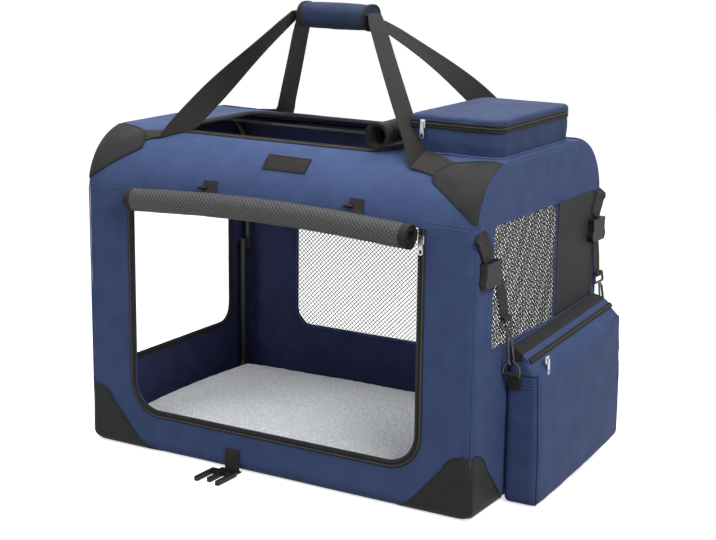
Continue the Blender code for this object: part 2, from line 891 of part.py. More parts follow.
def base_rail(name, side_y, look):
    y = side_y * base_rail_y
    reach = frame_x - tube_radius / 2
    rail(name, [(-reach, y, base_pivot), (reach, y, base_pivot)], y, base_pivot, look)


def top_rail(name, side_y, look):
    """The top rail is bowed out under the shoulder so that it clears the top opening."""
    y = side_y * top_rail_y
    reach = frame_x - tube_radius / 2
    bow_y = side_y * top_rail_bow_y
    bow_z = top_pivot - top_rail_bow_drop
    bow = []
    for step in range(7):
        share = step / 6
        ease = share * share * (3 - 2 * share)
        bow.append((reach - sleeve_radius - top_rail_bow_run * share, y + (bow_y - y) * ease,
                    top_pivot + (bow_z - top_pivot) * ease))
    points = [(-reach, y, top_pivot)]
    points += [(-place[0], place[1], place[2]) for place in bow]
    points += bow[::-1]
    points.append((reach, y, top_pivot))
    rail(name, points, y, top_pivot, look)


# Zip sliders and pulls

def slider(name, centre, normal, look):
    """A zip slider: a small rounded body proud of the tape, with a bail for its pull."""
    centre = Vector(centre)
    out = Vector(normal)
    side = Vector((0, 0, 1)).cross(out)
    low = centre - side * slider_width / 2 - Vector((0, 0, slider_length / 2))
    high = centre + side * slider_width / 2 + Vector((0, 0, slider_length / 2)) + out * slider_depth
    lowest = [min(a, b) for a, b in zip(low, high)]
    highest = [max(a, b) for a, b in zip(low, high)]
    body = block(name, lowest, highest, look)
    soften = body.modifiers.new("soften", "BEVEL")
    soften.width = slider_depth * slider_bevel_share
    soften.segments = 2
    return body



def pull(name, centre, normal, look):
    """A flat pull with a wide round foot and an oval hole, hanging from its slider."""
    centre = Vector(centre)
    out = Vector(normal)
    axis = "X" if abs(out.x) > 0.5 else "Y"
    across = centre.y if axis == "X" else centre.x
    start = (centre + out * (slider_depth + gap)).dot(outline_normal[axis])
    end = (centre + out * (slider_depth + gap + pull_thickness)).dot(outline_normal[axis])
    top = centre.z + pull_slot
    neck = pull_width * pull_neck_share / 2
    foot = pull_width / 2
    low = top - pull_length
    outline = [(across + neck, top), (across - neck, top)]
    outline += arc((across, low + foot), foot, 170, 370, 12)
    hole = rounded((across - neck, low + foot - neck), (across + neck, low + foot + neck * 2),
                   neck * pull_hole_share, 4)
    tag = flat(name, [outline, hole], axis, min(start, end), max(start, end), look)
    set_origin(tag, (centre.x + out.x * slider_depth, centre.y + out.y * slider_depth, top))
    return tag


# Buckles and webbing tabs

def buckle_tab(name, y, look):
    """Webbing sewn to the end header, hanging down to carry a buckle."""
    face = half_length + gap
    block(name, (face, y - webbing_width / 2, tab_bottom), (face + webbing, y + webbing_width / 2,
                                                             tab_top), look)


def female_buckle(name, y, look):
    """The socket half: a flat case, waisted at its sides, open at the foot for the prongs."""
    start = half_length + gap
    end = start + buckle_thickness
    high = tab_bottom - gap
    low = high - buckle_length
    half = buckle_width / 2
    waist = half * buckle_waist_share
    belly = low + buckle_length * buckle_belly_share
    narrow = low + buckle_length * buckle_waist_height_share
    outline = [(y - half * buckle_mouth_share, low), (y + half * buckle_mouth_share, low),
               (y + half, belly), (y + waist, narrow), (y + half * buckle_head_share, high),
               (y - half * buckle_head_share, high), (y - waist, narrow), (y - half, belly)]
    case = flat(name, [outline], "X", start, end, look)
    room_low = (start + buckle_wall, y - half * buckle_mouth_share + buckle_wall, low - overrun)
    room_high = (end - buckle_wall, y + half * buckle_mouth_share - buckle_wall,
                 high - buckle_length * buckle_solid_share)
    cut(case, block(name + "_room", room_low, room_high))
    set_origin(case, (tab_face + gap, y, high))


def front_strap(look):
    """Webbing sewn low on the front panel, down to the floor."""
    face = -half_depth - gap
    block("front_strap", (front_strap_x - webbing_width / 2, face - webbing, male_floor),
          (front_strap_x + webbing_width / 2, face, front_strap_top), look)


def male_buckle(look):
    """The prong half on the strap's tail, lying on the floor in front of the crate."""
    back = -half_depth - gap - webbing - gap
    half = male_width / 2
    bar_y = back - front_strap_tail - male_bar * 2
    tip_y = bar_y - male_length + male_bar * 2
    x = front_strap_x
    low = male_floor
    high = low + male_thickness
    bar = block("male_buckle", (x - half, bar_y - male_bar, low), (x + half, bar_y + male_bar, high),
                look)
    slot = block("male_slot", (x - half + male_bar, bar_y - male_bar * male_slot_share, low - overrun),
                 (x + half - male_bar, bar_y + male_bar * male_slot_share, high + overrun))
    prongs = ((-half + male_prong / 2, 1), (0.0, male_middle_share), (half - male_prong / 2, 1))
    for offset, reach_share in prongs:
        end = bar_y + (tip_y - bar_y) * reach_share
        prong = block("male_prong", (x + offset - male_prong / 2, end, low),
                      (x + offset + male_prong / 2, bar_y, high))
        join(bar, prong)
    tail = block("male_tail", (x - webbing_width / 2, bar_y, low),
                 (x + webbing_width / 2, back, low + webbing))
    join(bar, tail)
    cut(bar, slot)
    set_origin(bar, (x, back, low + webbing))


# Storage bag

def bag_side(side_y):
    """Where the rings, hooks and hangers of one side of the bag stand."""
    edge = bag_back if side_y > 0 else -bag_front
    return edge, edge + side_y * ring_side_gap


def bag_body(look):
    outline = rounded((bag_inner_x, -bag_front), (bag_outer_x, bag_back), bag_corner)
    body = flat("bag_body", [outline], "Z", bag_foot, bag_seam, look)
    inner = rounded((bag_inner_x + bag_wall, -bag_front + bag_wall),
                    (bag_outer_x - bag_wall, bag_back - bag_wall), bag_corner - bag_wall)
    cut(body, flat("bag_room", [inner], "Z", bag_foot + bag_wall, bag_seam + overrun))
    for side_y in (-1, 1):
        edge, y = bag_side(side_y)
        half = ring_half_width - ring_wire * 2
        root = edge - side_y * bag_wall / 2
        neck = y - side_y * (hook_hold + webbing / 2)
        tab = block("ring_tab", (ring_x - half, min(root, neck), ring_z - webbing),
                    (ring_x + half, max(root, neck), ring_z + webbing))
        loop = rod("ring_loop", (ring_x - half, y, ring_z), (ring_x + half, y, ring_z),
                   hook_hold + webbing)
        join(body, tab)
        join(body, loop)
        cut(body, rod("ring_hold", (ring_x - ring_half_width, y, ring_z),
                      (ring_x + ring_half_width, y, ring_z), hook_hold))


def bag_lid(look):
    outline = rounded((bag_inner_x, -bag_front), (bag_outer_x, bag_back), bag_corner)
    low = bag_seam + gap
    lid = flat("bag_lid", [outline], "Z", low, bag_top, look)
    inner = rounded((bag_inner_x + bag_wall, -bag_front + bag_wall),
                    (bag_outer_x - bag_wall, bag_back - bag_wall), bag_corner - bag_wall)
    cut(lid, flat("bag_lid_room", [inner], "Z", low - overrun, bag_top - bag_wall))
    set_origin(lid, (bag_inner_x, 0.0, bag_top))


def hook_point(y, z):
    """A point of the hook, which leans out from the hanger's loop to the bag's ring."""
    share = (hanger_loop_z - z) / (hanger_loop_z - hook_foot_z)
    return hanger_loop_x + (ring_x - hanger_loop_x) * share, y, z


def bag_ring(word, side_y, look):
    """A D-ring whose straight bar turns in the bag's webbing loop."""
    y = bag_side(side_y)[1]
    points = [(ring_x - ring_half_width, y, ring_z), (ring_x + ring_half_width, y, ring_z)]
    crown = (ring_x, ring_z + ring_height - ring_half_width)
    for across, up in arc(crown, ring_half_width, 0, 180, 10):
        points.append((across, y, up))
    tube("bag_ring_" + word, points, ring_wire, look, closed=True)


def bag_hook(word, side_y, look):
    """A snap hook: its foot is under the ring's crown and its eye turns in the hanger's loop."""
    y = bag_side(side_y)[1]
    foot = (y, hook_foot_z + hook_half_width)
    shank = hanger_loop_z - hook_eye_height
    path = [hook_point(across, up) for across, up in arc(foot, hook_half_width, 170, 380, 12)]
    path.append(hook_point(y + hook_half_width, shank - hook_half_width))
    path.append(hook_point(y, shank))
    hook = tube("bag_hook_" + word, path, hook_wire, look)
    eye = rounded((y - hook_eye_half_width, shank), (y + hook_eye_half_width, hanger_loop_z),
                  hook_eye_corner, 3)
    join(hook, tube("hook_eye", [hook_point(across, up) for across, up in eye], hook_wire,
                    closed=True))
    join(hook, rod("hook_gate", hook_point(y - hook_half_width, foot[1]), hook_point(y, shank),
                   hook_wire * hook_gate_share))


def hanger(word, side_y, look):
    """Webbing sewn to the end panel above the bag, folded round the bar of the hook's eye."""
    y = bag_side(side_y)[1]
    face = half_length + gap
    half = hanger_width / 2
    strip = block("hanger_" + word, (face, y - half, hanger_loop_z),
                  (face + webbing, y + half, hanger_top), look)
    join(strip, rod("hanger_loop", (hanger_loop_x, y - half, hanger_loop_z),
                    (hanger_loop_x, y + half, hanger_loop_z), hanger_hold + webbing))
    cut(strip, rod("hanger_hold", (hanger_loop_x, y - half - overrun, hanger_loop_z),
                   (hanger_loop_x, y + half + overrun, hanger_loop_z), hanger_hold))


def set_body_origins():
    """The pieces of the roof have their origin on its hinge, the bag's on its swing line."""
    roof = ("top_", "bare_patch", "front_door_roll", "roll_tie", "door_zip_slider",
            "storage_tub", "box_zip_slider", "handle_strap", "buckle_tab")
    bag = ("bag_body", "bag_ring", "bag_hook", "bag_zip_slider")
    for obj in crate.objects:
        if obj.name.startswith(roof):
            set_origin(obj, (-frame_x, 0.0, top_pivot))
        if obj.name.startswith(bag):
            set_origin(obj, (hanger_loop_x, 0.0, hanger_loop_z))


def build():
    clear_scene()
    navy = material("navy cloth", (0.075, 0.115, 0.265), 0.75)
    dark = material("charcoal cloth", (0.045, 0.045, 0.048), 0.8)
    black = material("black webbing", (0.028, 0.027, 0.027), 0.7)
    mesh_look = material("black mesh", (0.05, 0.05, 0.052), 0.85)
    fleece = material("pale fleece", (0.72, 0.72, 0.70), 0.95)
    steel = material("bright steel", (0.60, 0.61, 0.62), 0.3, 1.0)
    painted = material("black painted steel", (0.03, 0.03, 0.032), 0.45, 0.6)
    plastic = material("black plastic", (0.022, 0.022, 0.024), 0.4)

    floor_panel(dark)
    floor_pad(fleece)
    front_panel(navy)
    front_binding(black)
    back_panel(navy)
    opening = rounded((-left_opening_half, left_opening_low), (left_opening_half, left_opening_high),
                      window_corner)
    end_panel("left_panel", -1, opening, navy)
    window = rounded((-right_window_front, right_window_low),
                     (right_window_back, right_window_high), right_window_corner)
    end_panel("right_panel", 1, window, navy)
    window_nets(mesh_look)
    top_cap(navy)
    top_binding(black)
    bare_patch(dark)
    for side_y, depth_word in ((-1, "front"), (1, "back")):
        for side_x, end_word in ((-1, "left"), (1, "right")):
            place = depth_word + "_" + end_word
            foot_patch("foot_patch_" + place, side_x, side_y, dark)
            top_patch("top_patch_" + place, side_x, side_y, dark)
            handle_strap("handle_strap_" + place, side_x, side_y, black)
        base_rail("base_rail_" + depth_word, side_y, painted)
        top_rail("top_rail_" + depth_word, side_y, painted)
        bag_ring(depth_word, side_y, steel)
        bag_hook(depth_word, side_y, steel)
        hanger(depth_word, side_y, black)
    for side, word in ((-1, "left"), (1, "right")):
        lower_frame(word + "_lower_frame", side, painted)
        hoop(word + "_hoop", side, painted)
    front_door_roll(mesh_look)
    roll_tie("roll_tie_left", -tie_left_x, black)
    roll_tie("roll_tie_right", tie_right_x, black)
    top_door_roll(mesh_look)
    storage_tub(navy)
    storage_lid(navy)
    handle_grip(navy)
    front = (0, -1, 0)
    right = (1, 0, 0)
    door_zip = (door_slider_x, -half_depth - outer_face - gap, door_slider_z)
    slider("door_zip_slider", door_zip, front, steel)
    pull("door_zip_pull", door_zip, front, steel)
    box_zip = (box_left + box_corner + box_slider_from_left, -box_front - gap, box_seam)
    slider("box_zip_slider", box_zip, front, steel)
    pull("box_zip_pull", box_zip, front, steel)
    bag_zip = (bag_outer_x + gap, -bag_front + bag_slider_from_front, bag_seam)
    slider("bag_zip_slider", bag_zip, right, steel)
    pull("bag_zip_pull", bag_zip, right, steel)
    buckle_tab("buckle_tab_front", -buckle_front_y, black)
    buckle_tab("buckle_tab_back", buckle_back_y, black)
    female_buckle("female_buckle_front", -buckle_front_y, plastic)
    female_buckle("female_buckle_back", buckle_back_y, plastic)
    front_strap(black)
    male_buckle(plastic)
    bag_body(navy)
    bag_lid(navy)
    set_body_origins()


build()
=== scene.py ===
"""Looks of the soft folding dog crate: sewn cloth, webbing, mesh, fleece and hardware."""
import math
from contextlib import contextmanager

import bmesh
import bpy
import numpy as np
from mathutils import Matrix, Vector, noise


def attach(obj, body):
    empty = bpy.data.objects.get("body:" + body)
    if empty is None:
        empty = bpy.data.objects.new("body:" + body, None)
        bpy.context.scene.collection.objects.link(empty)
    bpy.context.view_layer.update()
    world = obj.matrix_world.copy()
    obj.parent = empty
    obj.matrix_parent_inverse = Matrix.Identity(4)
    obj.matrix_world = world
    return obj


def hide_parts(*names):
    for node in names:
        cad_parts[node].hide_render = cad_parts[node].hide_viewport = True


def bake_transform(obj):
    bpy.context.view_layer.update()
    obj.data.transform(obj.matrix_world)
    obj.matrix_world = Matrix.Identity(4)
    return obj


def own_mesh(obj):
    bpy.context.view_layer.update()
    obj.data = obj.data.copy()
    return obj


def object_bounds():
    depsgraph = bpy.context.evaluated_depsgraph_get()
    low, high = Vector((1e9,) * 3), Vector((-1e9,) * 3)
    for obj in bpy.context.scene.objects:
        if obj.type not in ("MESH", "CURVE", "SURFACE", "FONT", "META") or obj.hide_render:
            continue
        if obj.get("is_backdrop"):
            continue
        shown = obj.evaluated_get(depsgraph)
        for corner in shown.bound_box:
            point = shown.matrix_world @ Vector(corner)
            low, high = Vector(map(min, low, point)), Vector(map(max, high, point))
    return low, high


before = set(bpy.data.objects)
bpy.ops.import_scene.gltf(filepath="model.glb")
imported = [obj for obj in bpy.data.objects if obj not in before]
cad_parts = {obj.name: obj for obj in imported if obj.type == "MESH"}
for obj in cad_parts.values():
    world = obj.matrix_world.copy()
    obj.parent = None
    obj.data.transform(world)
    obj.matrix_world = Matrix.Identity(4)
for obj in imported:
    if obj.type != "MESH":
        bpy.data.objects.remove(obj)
cad_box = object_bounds()

# Sizes of the sewn body, in metres
half_length = 0.350
half_depth = 0.220
body_height = 0.520
shoulder = 0.100
front_hem = 0.4277
end_hem = 0.4397
edge_round = 0.008
foot_round = 0.018
cloth = 0.0020
door_half = 0.256
door_sill = 0.073
door_corner = 0.045
# Each window's low and high corner on its wall, and the radius of its corners
windows = {"left": ((-0.170, 0.120), (0.170, 0.410), 0.030),
           "right": ((-0.166, 0.250), (0.050, 0.431), 0.006),
           "back": ((-0.230, 0.120), (0.275, 0.405), 0.030)}
roof_opening = ((-0.240, -0.136), (0.160, 0.100), 0.030)


# Colours and materials

def hex_colour(text, alpha=1.0):
    """An sRGB hex colour as linear values."""
    levels = [int(text[start:start + 2], 16) / 255 for start in (1, 3, 5)]
    linear = [c / 12.92 if c <= 0.04045 else ((c + 0.055) / 1.055) ** 2.4 for c in levels]
    return (*linear, alpha)


def put(tree, kind, inputs=None, **settings):
    """Adds a node. An input is given a value, or a link where the value is another node's output."""
    made = tree.nodes.new("ShaderNode" + kind)
    for key, value in settings.items():
        setattr(made, key, value)
    for key, value in (inputs or {}).items():
        if isinstance(value, bpy.types.NodeSocket):
            tree.links.new(value, made.inputs[key])
        else:
            made.inputs[key].default_value = value
    return made


def new_finish(name, colour, roughness, specular=0.5, **values):
    """A material with its node tree and shader; values are the shader's other inputs."""
    look = bpy.data.materials.new(name)
    look.use_nodes = True
    look.diffuse_color = hex_colour(colour)
    tree = look.node_tree
    shader = tree.nodes["Principled BSDF"]
    shader.inputs["Base Color"].default_value = hex_colour(colour)
    shader.inputs["Roughness"].default_value = roughness
    shader.inputs["Specular IOR Level"].default_value = specular
    for key, value in values.items():
        shader.inputs[key.replace("_", " ").title()].default_value = value
    return look, tree, shader


def bands(tree, place, pitch, directions, joined="MULTIPLY"):
    """Bands at a pitch in metres, along one direction or joined from several."""
    joint = None
    for direction in directions:
        inputs = {"Vector": place, "Scale": math.pi / 10 / pitch, "Distortion": 0.0}
        wave = put(tree, "TexWave", inputs, bands_direction=direction).outputs["Fac"]
        joint = wave if joint is None else put(tree, "Math", {0: joint, 1: wave},
                                               operation=joined).outputs[0]
    return joint


def mottle(tree, size, detail=3.0):
    """Soft patches about the given size in metres."""
    place = put(tree, "TexCoord").outputs["Object"]
    return put(tree, "TexNoise", {"Vector": place, "Scale": 1 / size, "Detail": detail}).outputs["Fac"]


def shade(tree, shader, low, high, amount, start=0.3, end=0.7):
    """Runs the base colour from one hex colour to another as the amount goes from start to end."""
    ramp = put(tree, "ValToRGB", {"Fac": amount})
    ramp.color_ramp.elements[0].position = start
    ramp.color_ramp.elements[1].position = end
    ramp.color_ramp.elements[0].color = hex_colour(low)
    ramp.color_ramp.elements[1].color = hex_colour(high)
    tree.links.new(ramp.outputs["Color"], shader.inputs["Base Color"])


def raise_surface(tree, shader, layers):
    """Bump from several heights, each with its own depth in metres."""
    last = None
    for height, depth, strength in layers:
        bump = put(tree, "Bump", {"Height": height, "Distance": depth, "Strength": strength})
        if last is not None:
            tree.links.new(last, bump.inputs["Normal"])
        last = bump.outputs["Normal"]
    tree.links.new(last, shader.inputs["Normal"])


def oxford_cloth(name, low, high, pitch=0.0016):
    """Coated polyester oxford: a plain weave with a faint sheen.

    The threads are drawn at 1.6 mm, about twice the real pitch, so that they show.
    """
    look, tree, shader = new_finish(name, high, 0.68, 0.14, sheen_weight=0.04, sheen_roughness=0.5)
    shade(tree, shader, low, high, mottle(tree, 0.035, 4.0), 0.25, 0.65)
    weave = bands(tree, put(tree, "TexCoord").outputs["Object"], pitch, "XYZ", "ADD")
    raise_surface(tree, shader, [(mottle(tree, 0.060, 2.0), 0.004, 0.22),
                                 (mottle(tree, 0.006, 2.0), 0.0006, 0.20),
                                 (weave, 0.00025, 0.35)])
    return look


def webbing_finish(name, low, high):
    """Woven polyester webbing: ribs across the strap at 3 mm, drawn coarse so that they show."""
    look, tree, shader = new_finish(name, high, 0.74, 0.18, sheen_weight=0.06, sheen_roughness=0.4)
    place = put(tree, "TexCoord").outputs["UV"]
    across = put(tree, "TexWave", {"Vector": place, "Scale": math.pi / 10 / 0.0030,
                                   "Distortion": 0.6, "Detail": 0.0}, bands_direction="X")
    along = put(tree, "TexWave", {"Vector": place, "Scale": math.pi / 10 / 0.0034,
                                  "Distortion": 0.0}, bands_direction="Y")
    both = put(tree, "Math", {0: across.outputs["Fac"], 1: along.outputs["Fac"]},
               operation="MULTIPLY").outputs[0]
    shade(tree, shader, low, high, both, 0.0, 0.75)
    raise_surface(tree, shader, [(mottle(tree, 0.012), 0.001, 0.15), (both, 0.0007, 0.6)])
    return look


def plain_finish(name, low, high, roughness, grit, depth, **values):
    """Moulded, plated or painted: a solid colour with fine grit of the size given."""
    look, tree, shader = new_finish(name, high, roughness, **values)
    grain = mottle(tree, grit, 3.0)
    shade(tree, shader, low, high, grain, 0.25, 0.7)
    raise_surface(tree, shader, [(grain, depth, 0.25)])
    return look


def fleece_finish():
    """Polyester sherpa fleece: curled tufts about 6 mm across that scatter light."""
    look, tree, shader = new_finish("sherpa_fleece", "#E9ECEE", 0.95, 0.1, sheen_weight=0.55,
                                    sheen_roughness=0.6)
    place = put(tree, "TexCoord").outputs["Object"]
    bend = put(tree, "TexNoise", {"Vector": place, "Scale": 1 / 0.010, "Detail": 3.0})
    push = put(tree, "VectorMath", {0: bend.outputs["Color"], "Scale": 0.006}, operation="SCALE")
    moved = put(tree, "VectorMath", {0: place, 1: push.outputs[0]}, operation="ADD").outputs[0]
    tuft = put(tree, "TexVoronoi", {"Vector": moved, "Scale": 1 / 0.006}).outputs["Distance"]
    fibre = put(tree, "TexNoise", {"Vector": moved, "Scale": 1 / 0.0022, "Detail": 4.0})
    mixed = put(tree, "Math", {0: tuft, 1: fibre.outputs["Fac"]}, operation="ADD").outputs[0]
    shade(tree, shader, "#FAFBFC", "#D6DADE", mixed, 0.55, 1.25)
    raise_surface(tree, shader, [(mottle(tree, 0.045, 2.0), 0.006, 0.5), (tuft, -0.003, 0.7),
                                 (fibre.outputs["Fac"], 0.0012, 0.6)])
    return look


def rolled_mesh_finish():
    """Vinyl-coated polyester mesh wound in layers: the holes show as a diagonal dot pattern."""
    look, tree, shader = new_finish("wound_mesh", "#5A5C5E", 0.6)
    place = put(tree, "TexCoord").outputs["UV"]
    turned = put(tree, "Mapping", {"Vector": place, "Rotation": (0.0, 0.0, math.radians(45))})
    dots = bands(tree, turned.outputs[0], 0.0046, "XY")
    shade(tree, shader, "#1C1C1D", "#5C5D5E", dots, 0.2, 0.8)
    raise_surface(tree, shader, [(mottle(tree, 0.02), 0.002, 0.3), (dots, 0.0009, 0.8)])
    return look


def zip_finish():
    """Nylon coil on woven tape: fine teeth across the line, drawn at 2.4 mm."""
    look, tree, shader = new_finish("nylon_coil", "#24231F", 0.5)
    place = put(tree, "TexCoord").outputs["UV"]
    teeth = bands(tree, place, 0.0024, "X")
    shade(tree, shader, "#161614", "#46443D", teeth, 0.2, 0.9)
    raise_surface(tree, shader, [(teeth, 0.0008, 0.8)])
    return look


navy = oxford_cloth("navy_oxford", "#394970", "#41527B")
# Painted shade: a darker copy of the navy cloth for the box on the roof, standing in for the shade on the
# box's sides
shaded_box_navy = oxford_cloth("navy_box_cloth_painted_shade", "#2C395B", "#354467")
# Painted shade: the inner faces of the walls and roof take a darker navy that stands in for the shade inside
# the crate
shaded_inner_navy = oxford_cloth("navy_lining_painted_shade", "#2A2E50", "#333A60")
charcoal = oxford_cloth("charcoal_oxford", "#262626", "#303030", 0.0022)
tape = oxford_cloth("black_binding_tape", "#1F1E1D", "#2A2926", 0.0020)
# Painted shade: a darker copy of the navy cloth for the grip, standing in for the shade on its face
shaded_grip_navy = oxford_cloth("grip_cloth_painted_shade", "#232D45", "#2B3751")
webbing = webbing_finish("black_webbing", "#232220", "#3B3937")
roll_mesh = rolled_mesh_finish()
coil = zip_finish()
fleece = fleece_finish()
# Coated mesh strands: a dull vinyl skin over polyester
strand = plain_finish("coated_mesh", "#232324", "#333335", 0.55, 0.004, 0.0002)
# Sewing thread, a little lighter than the cloth it closes
navy_thread = plain_finish("navy_thread", "#34446D", "#5C70A2", 0.8, 0.002, 0.0001)
dark_thread = plain_finish("dark_thread", "#1B1B1B", "#33332F", 0.8, 0.002, 0.0001)
# Bright zinc casting, tumbled and plated: soft highlights over small dents
zinc = plain_finish("plated_zinc", "#9FA1A3", "#C3C5C7", 0.26, 0.006, 0.0002, metallic=1.0)
# Steel wire with a black nickel plating
gunmetal = plain_finish("black_nickel", "#3A3A3A", "#565553", 0.32, 0.005, 0.0002, metallic=1.0)
# Steel tube with a satin powder coat: fine orange peel
powder_coat = plain_finish("black_powder_coat", "#1D1D1E", "#2B2B2C", 0.42, 0.0012, 0.0001)
# Moulded acetal, satin from the tool
acetal = plain_finish("black_acetal", "#121213", "#1B1B1C", 0.50, 0.0015, 0.0001, specular=0.22)


# Mesh helpers

def linked(name, data):
    """A new object in the scene."""
    obj = bpy.data.objects.new(name, data)
    bpy.context.scene.collection.objects.link(obj)
    return obj


def plain_mesh(name, points, faces):
    """A mesh from points and faces."""
    mesh = bpy.data.meshes.new(name)
    mesh.from_pydata(points, [], faces)
    mesh.update()
    return mesh


def new_piece(name, mesh, look):
    """A visible piece with one material or several."""
    for finish in look if isinstance(look, list) else [look]:
        mesh.materials.append(finish)
    return linked(name, mesh)


def smooth(obj, angle=40.0):
    """Shades a piece smooth, with edges sharper than the angle kept sharp."""
    for polygon in obj.data.polygons:
        polygon.use_smooth = True
    obj.data.set_sharp_from_angle(angle=math.radians(angle))
    return obj


def settle(obj, angle=40.0):
    """Applies the modifiers, so that the piece is a plain mesh."""
    bpy.context.view_layer.update()
    view = bpy.context.evaluated_depsgraph_get()
    mesh = bpy.data.meshes.new_from_object(obj.evaluated_get(view))
    obj.modifiers.clear()
    obj.data = mesh
    return smooth(obj, angle)


@contextmanager
def reshaping(mesh):
    """The mesh as a bmesh, written back when the block ends."""
    shape = bmesh.new()
    shape.from_mesh(mesh)
    yield shape
    shape.to_mesh(mesh)
    shape.free()


def face_outwards(mesh):
    """Turns the faces of a closed mesh outwards."""
    with reshaping(mesh) as shape:
        bmesh.ops.recalc_face_normals(shape, faces=shape.faces)


def grid_faces(rows, columns, wrap_columns=False, wrap_rows=False):
    """The four-cornered faces between rows of points."""
    faces = []
    for row in range(rows if wrap_rows else rows - 1):
        for column in range(columns if wrap_columns else columns - 1):
            after = (column + 1) % columns
            below = (row + 1) % rows
            faces.append((row * columns + column, row * columns + after,
                          below * columns + after, below * columns + column))
    return faces


def lattice(name, points, look, wrap_columns=False, wrap_rows=False, flip=False, uv=None):
    """A mesh over rows of points; uv gives each point's place on the flat cloth in metres."""
    points = np.asarray(points, float)
    rows, columns = points.shape[:2]
    faces = grid_faces(rows, columns, wrap_columns, wrap_rows)
    if flip:
        faces = [face[::-1] for face in faces]
    mesh = plain_mesh(name, points.reshape(-1, 3).tolist(), faces)
    if uv is not None:
        flat = np.asarray(uv, float).reshape(-1, 2)
        layer = mesh.uv_layers.new(name="cut")
        for loop in mesh.loops:
            layer.data[loop.index].uv = flat[loop.vertex_index]
    return new_piece(name, mesh, look)


def thicken(obj, thickness, offset=-1.0, lined=False, angle=40.0):
    """Gives a sheet its thickness. The second face of a lined one has the second material."""
    solid = obj.modifiers.new("thickness", "SOLIDIFY")
    solid.thickness = thickness
    solid.offset = offset
    solid.use_even_offset = False
    solid.material_offset = 1 if lined else 0
    return settle(obj, angle)


def orient(obj, middle):
    """Turns a sheet's faces outwards from the point given."""
    with reshaping(obj.data) as shape:
        shape.normal_update()
        total = sum((face.calc_center_median() - Vector(middle)).dot(face.normal) * face.calc_area()
                    for face in shape.faces)
        if total < 0:
            bmesh.ops.reverse_faces(shape, faces=shape.faces)
    return obj


def cut_cloth(name, rows, look, inside, thickness=0.0012, offset=1.0):
    """A piece of cloth over rows of points, thickened away from a point inside the crate."""
    return thicken(orient(lattice(name, rows, look), inside), thickness, offset)


def weld(obj, distance=0.00002):
    """Joins points that lie together."""
    with reshaping(obj.data) as shape:
        bmesh.ops.remove_doubles(shape, verts=shape.verts, dist=distance)
        bmesh.ops.dissolve_degenerate(shape, edges=shape.edges, dist=distance)
    return obj


def closed_shell(name, rows, look, angle=50.0, distance=0.00005):
    """A shell over rings of points whose first and last rings close to a point or a line."""
    shell = weld(lattice(name, rows, look, wrap_columns=True), distance)
    face_outwards(shell.data)
    return smooth(shell, angle)


def ripple(point, size, seed):
    """Smooth noise from -1 to 1 whose bumps are about the given size."""
    return noise.noise(Vector(point) / size + Vector((seed * 7.3, seed * 3.1, seed * 5.7)))


def smoothstep(value):
    """A smooth rise from 0 to 1, level at both ends."""
    value = min(max(value, 0.0), 1.0)
    return value * value * (3 - 2 * value)


def arc(centre, radius, start, end, steps):
    """Points along an arc, with angles in degrees."""
    angles = np.radians(np.linspace(start, end, steps + 1))
    return [(centre[0] + radius * math.cos(a), centre[1] + radius * math.sin(a)) for a in angles]


def rounded(low, high, radius, grow=0.0, steps=8):
    """The corners of a rectangle with round corners, grown outwards, as a closed line."""
    left, bottom = low[0] - grow, low[1] - grow
    right, top = high[0] + grow, high[1] + grow
    turn = radius + grow
    line = arc((right - turn, top - turn), turn, 0, 90, steps)
    line += arc((left + turn, top - turn), turn, 90, 180, steps)
    line += arc((left + turn, bottom + turn), turn, 180, 270, steps)
    line += arc((right - turn, bottom + turn), turn, 270, 360, steps)
    return line


def travelled(points):
    """How far along a line each of its points lies."""
    return np.concatenate([[0], np.cumsum(np.linalg.norm(np.diff(points, axis=0), axis=1))])


def spaced(path, step, closed=False):
    """The path again with points an even distance apart."""
    points = np.asarray(path, float)
    if closed:
        points = np.vstack([points, points[:1]])
    runs = np.linalg.norm(np.diff(points, axis=0), axis=1)
    points = points[np.concatenate([[True], runs > 1e-7])]
    travel = travelled(points)
    count = max(int(round(travel[-1] / step)), 2)
    marks = np.linspace(0, travel[-1], count + 1)
    if closed:
        marks = marks[:-1]
    return np.stack([np.interp(marks, travel, points[:, axis]) for axis in range(3)], axis=1)


def unit(vectors):
    """The vectors at a length of 1."""
    return vectors / np.linalg.norm(vectors, axis=1, keepdims=True)


def tangents(points, closed=False):
    """The way a line runs at each of its points."""
    if closed:
        return unit(np.roll(points, -1, axis=0) - np.roll(points, 1, axis=0))
    return unit(np.gradient(points, axis=0))


def sweep(name, path, section, across, look, closed=False, lift=None, cut=None):
    """Carries a closed section along a path. Across gives the direction of the section's width."""
    points = np.asarray(path, float)
    along = tangents(points, closed)
    across = np.broadcast_to(np.asarray(across, float), points.shape)
    across = unit(across - along * np.sum(across * along, axis=1, keepdims=True))
    up = np.cross(along, across)
    section = np.asarray(section, float)
    if section.ndim == 2:
        section = np.broadcast_to(section, (len(points), *section.shape))
    rings = (points[:, None] + across[:, None] * section[:, :, :1] + up[:, None] * section[:, :, 1:])
    if lift is not None:
        rings = lift(rings)
    travel = travelled(points)
    width = section[:, :, 0] if cut is None else np.broadcast_to(cut, section.shape[:2])
    uv = np.stack([np.broadcast_to(travel[:, None], width.shape), width], axis=2)
    obj = lattice(name, rings, look, wrap_columns=True, wrap_rows=closed, uv=uv)
    if not closed:
        with reshaping(obj.data) as shape:
            shape.verts.ensure_lookup_table()
            count = section.shape[1]
            last = (len(points) - 1) * count
            shape.faces.new([shape.verts[index] for index in range(count)][::-1])
            shape.faces.new([shape.verts[last + index] for index in range(count)])
            bmesh.ops.recalc_face_normals(shape, faces=shape.faces)
    return smooth(obj)


def flat_section(width, thickness, rise=0.0):
    """A strap's section: thin, with rounded edges, and raised a little along its middle."""
    half = width / 2
    edge = thickness / 2
    count = 7
    top = [(x, edge + rise * (1 - (x / half) ** 2)) for x in np.linspace(half - edge, -half + edge, count)]
    low = [(x, -edge) for x in np.linspace(-half + edge, half - edge, count)]
    return top + [(-half, 0.0)] + low + [(half, 0.0)]


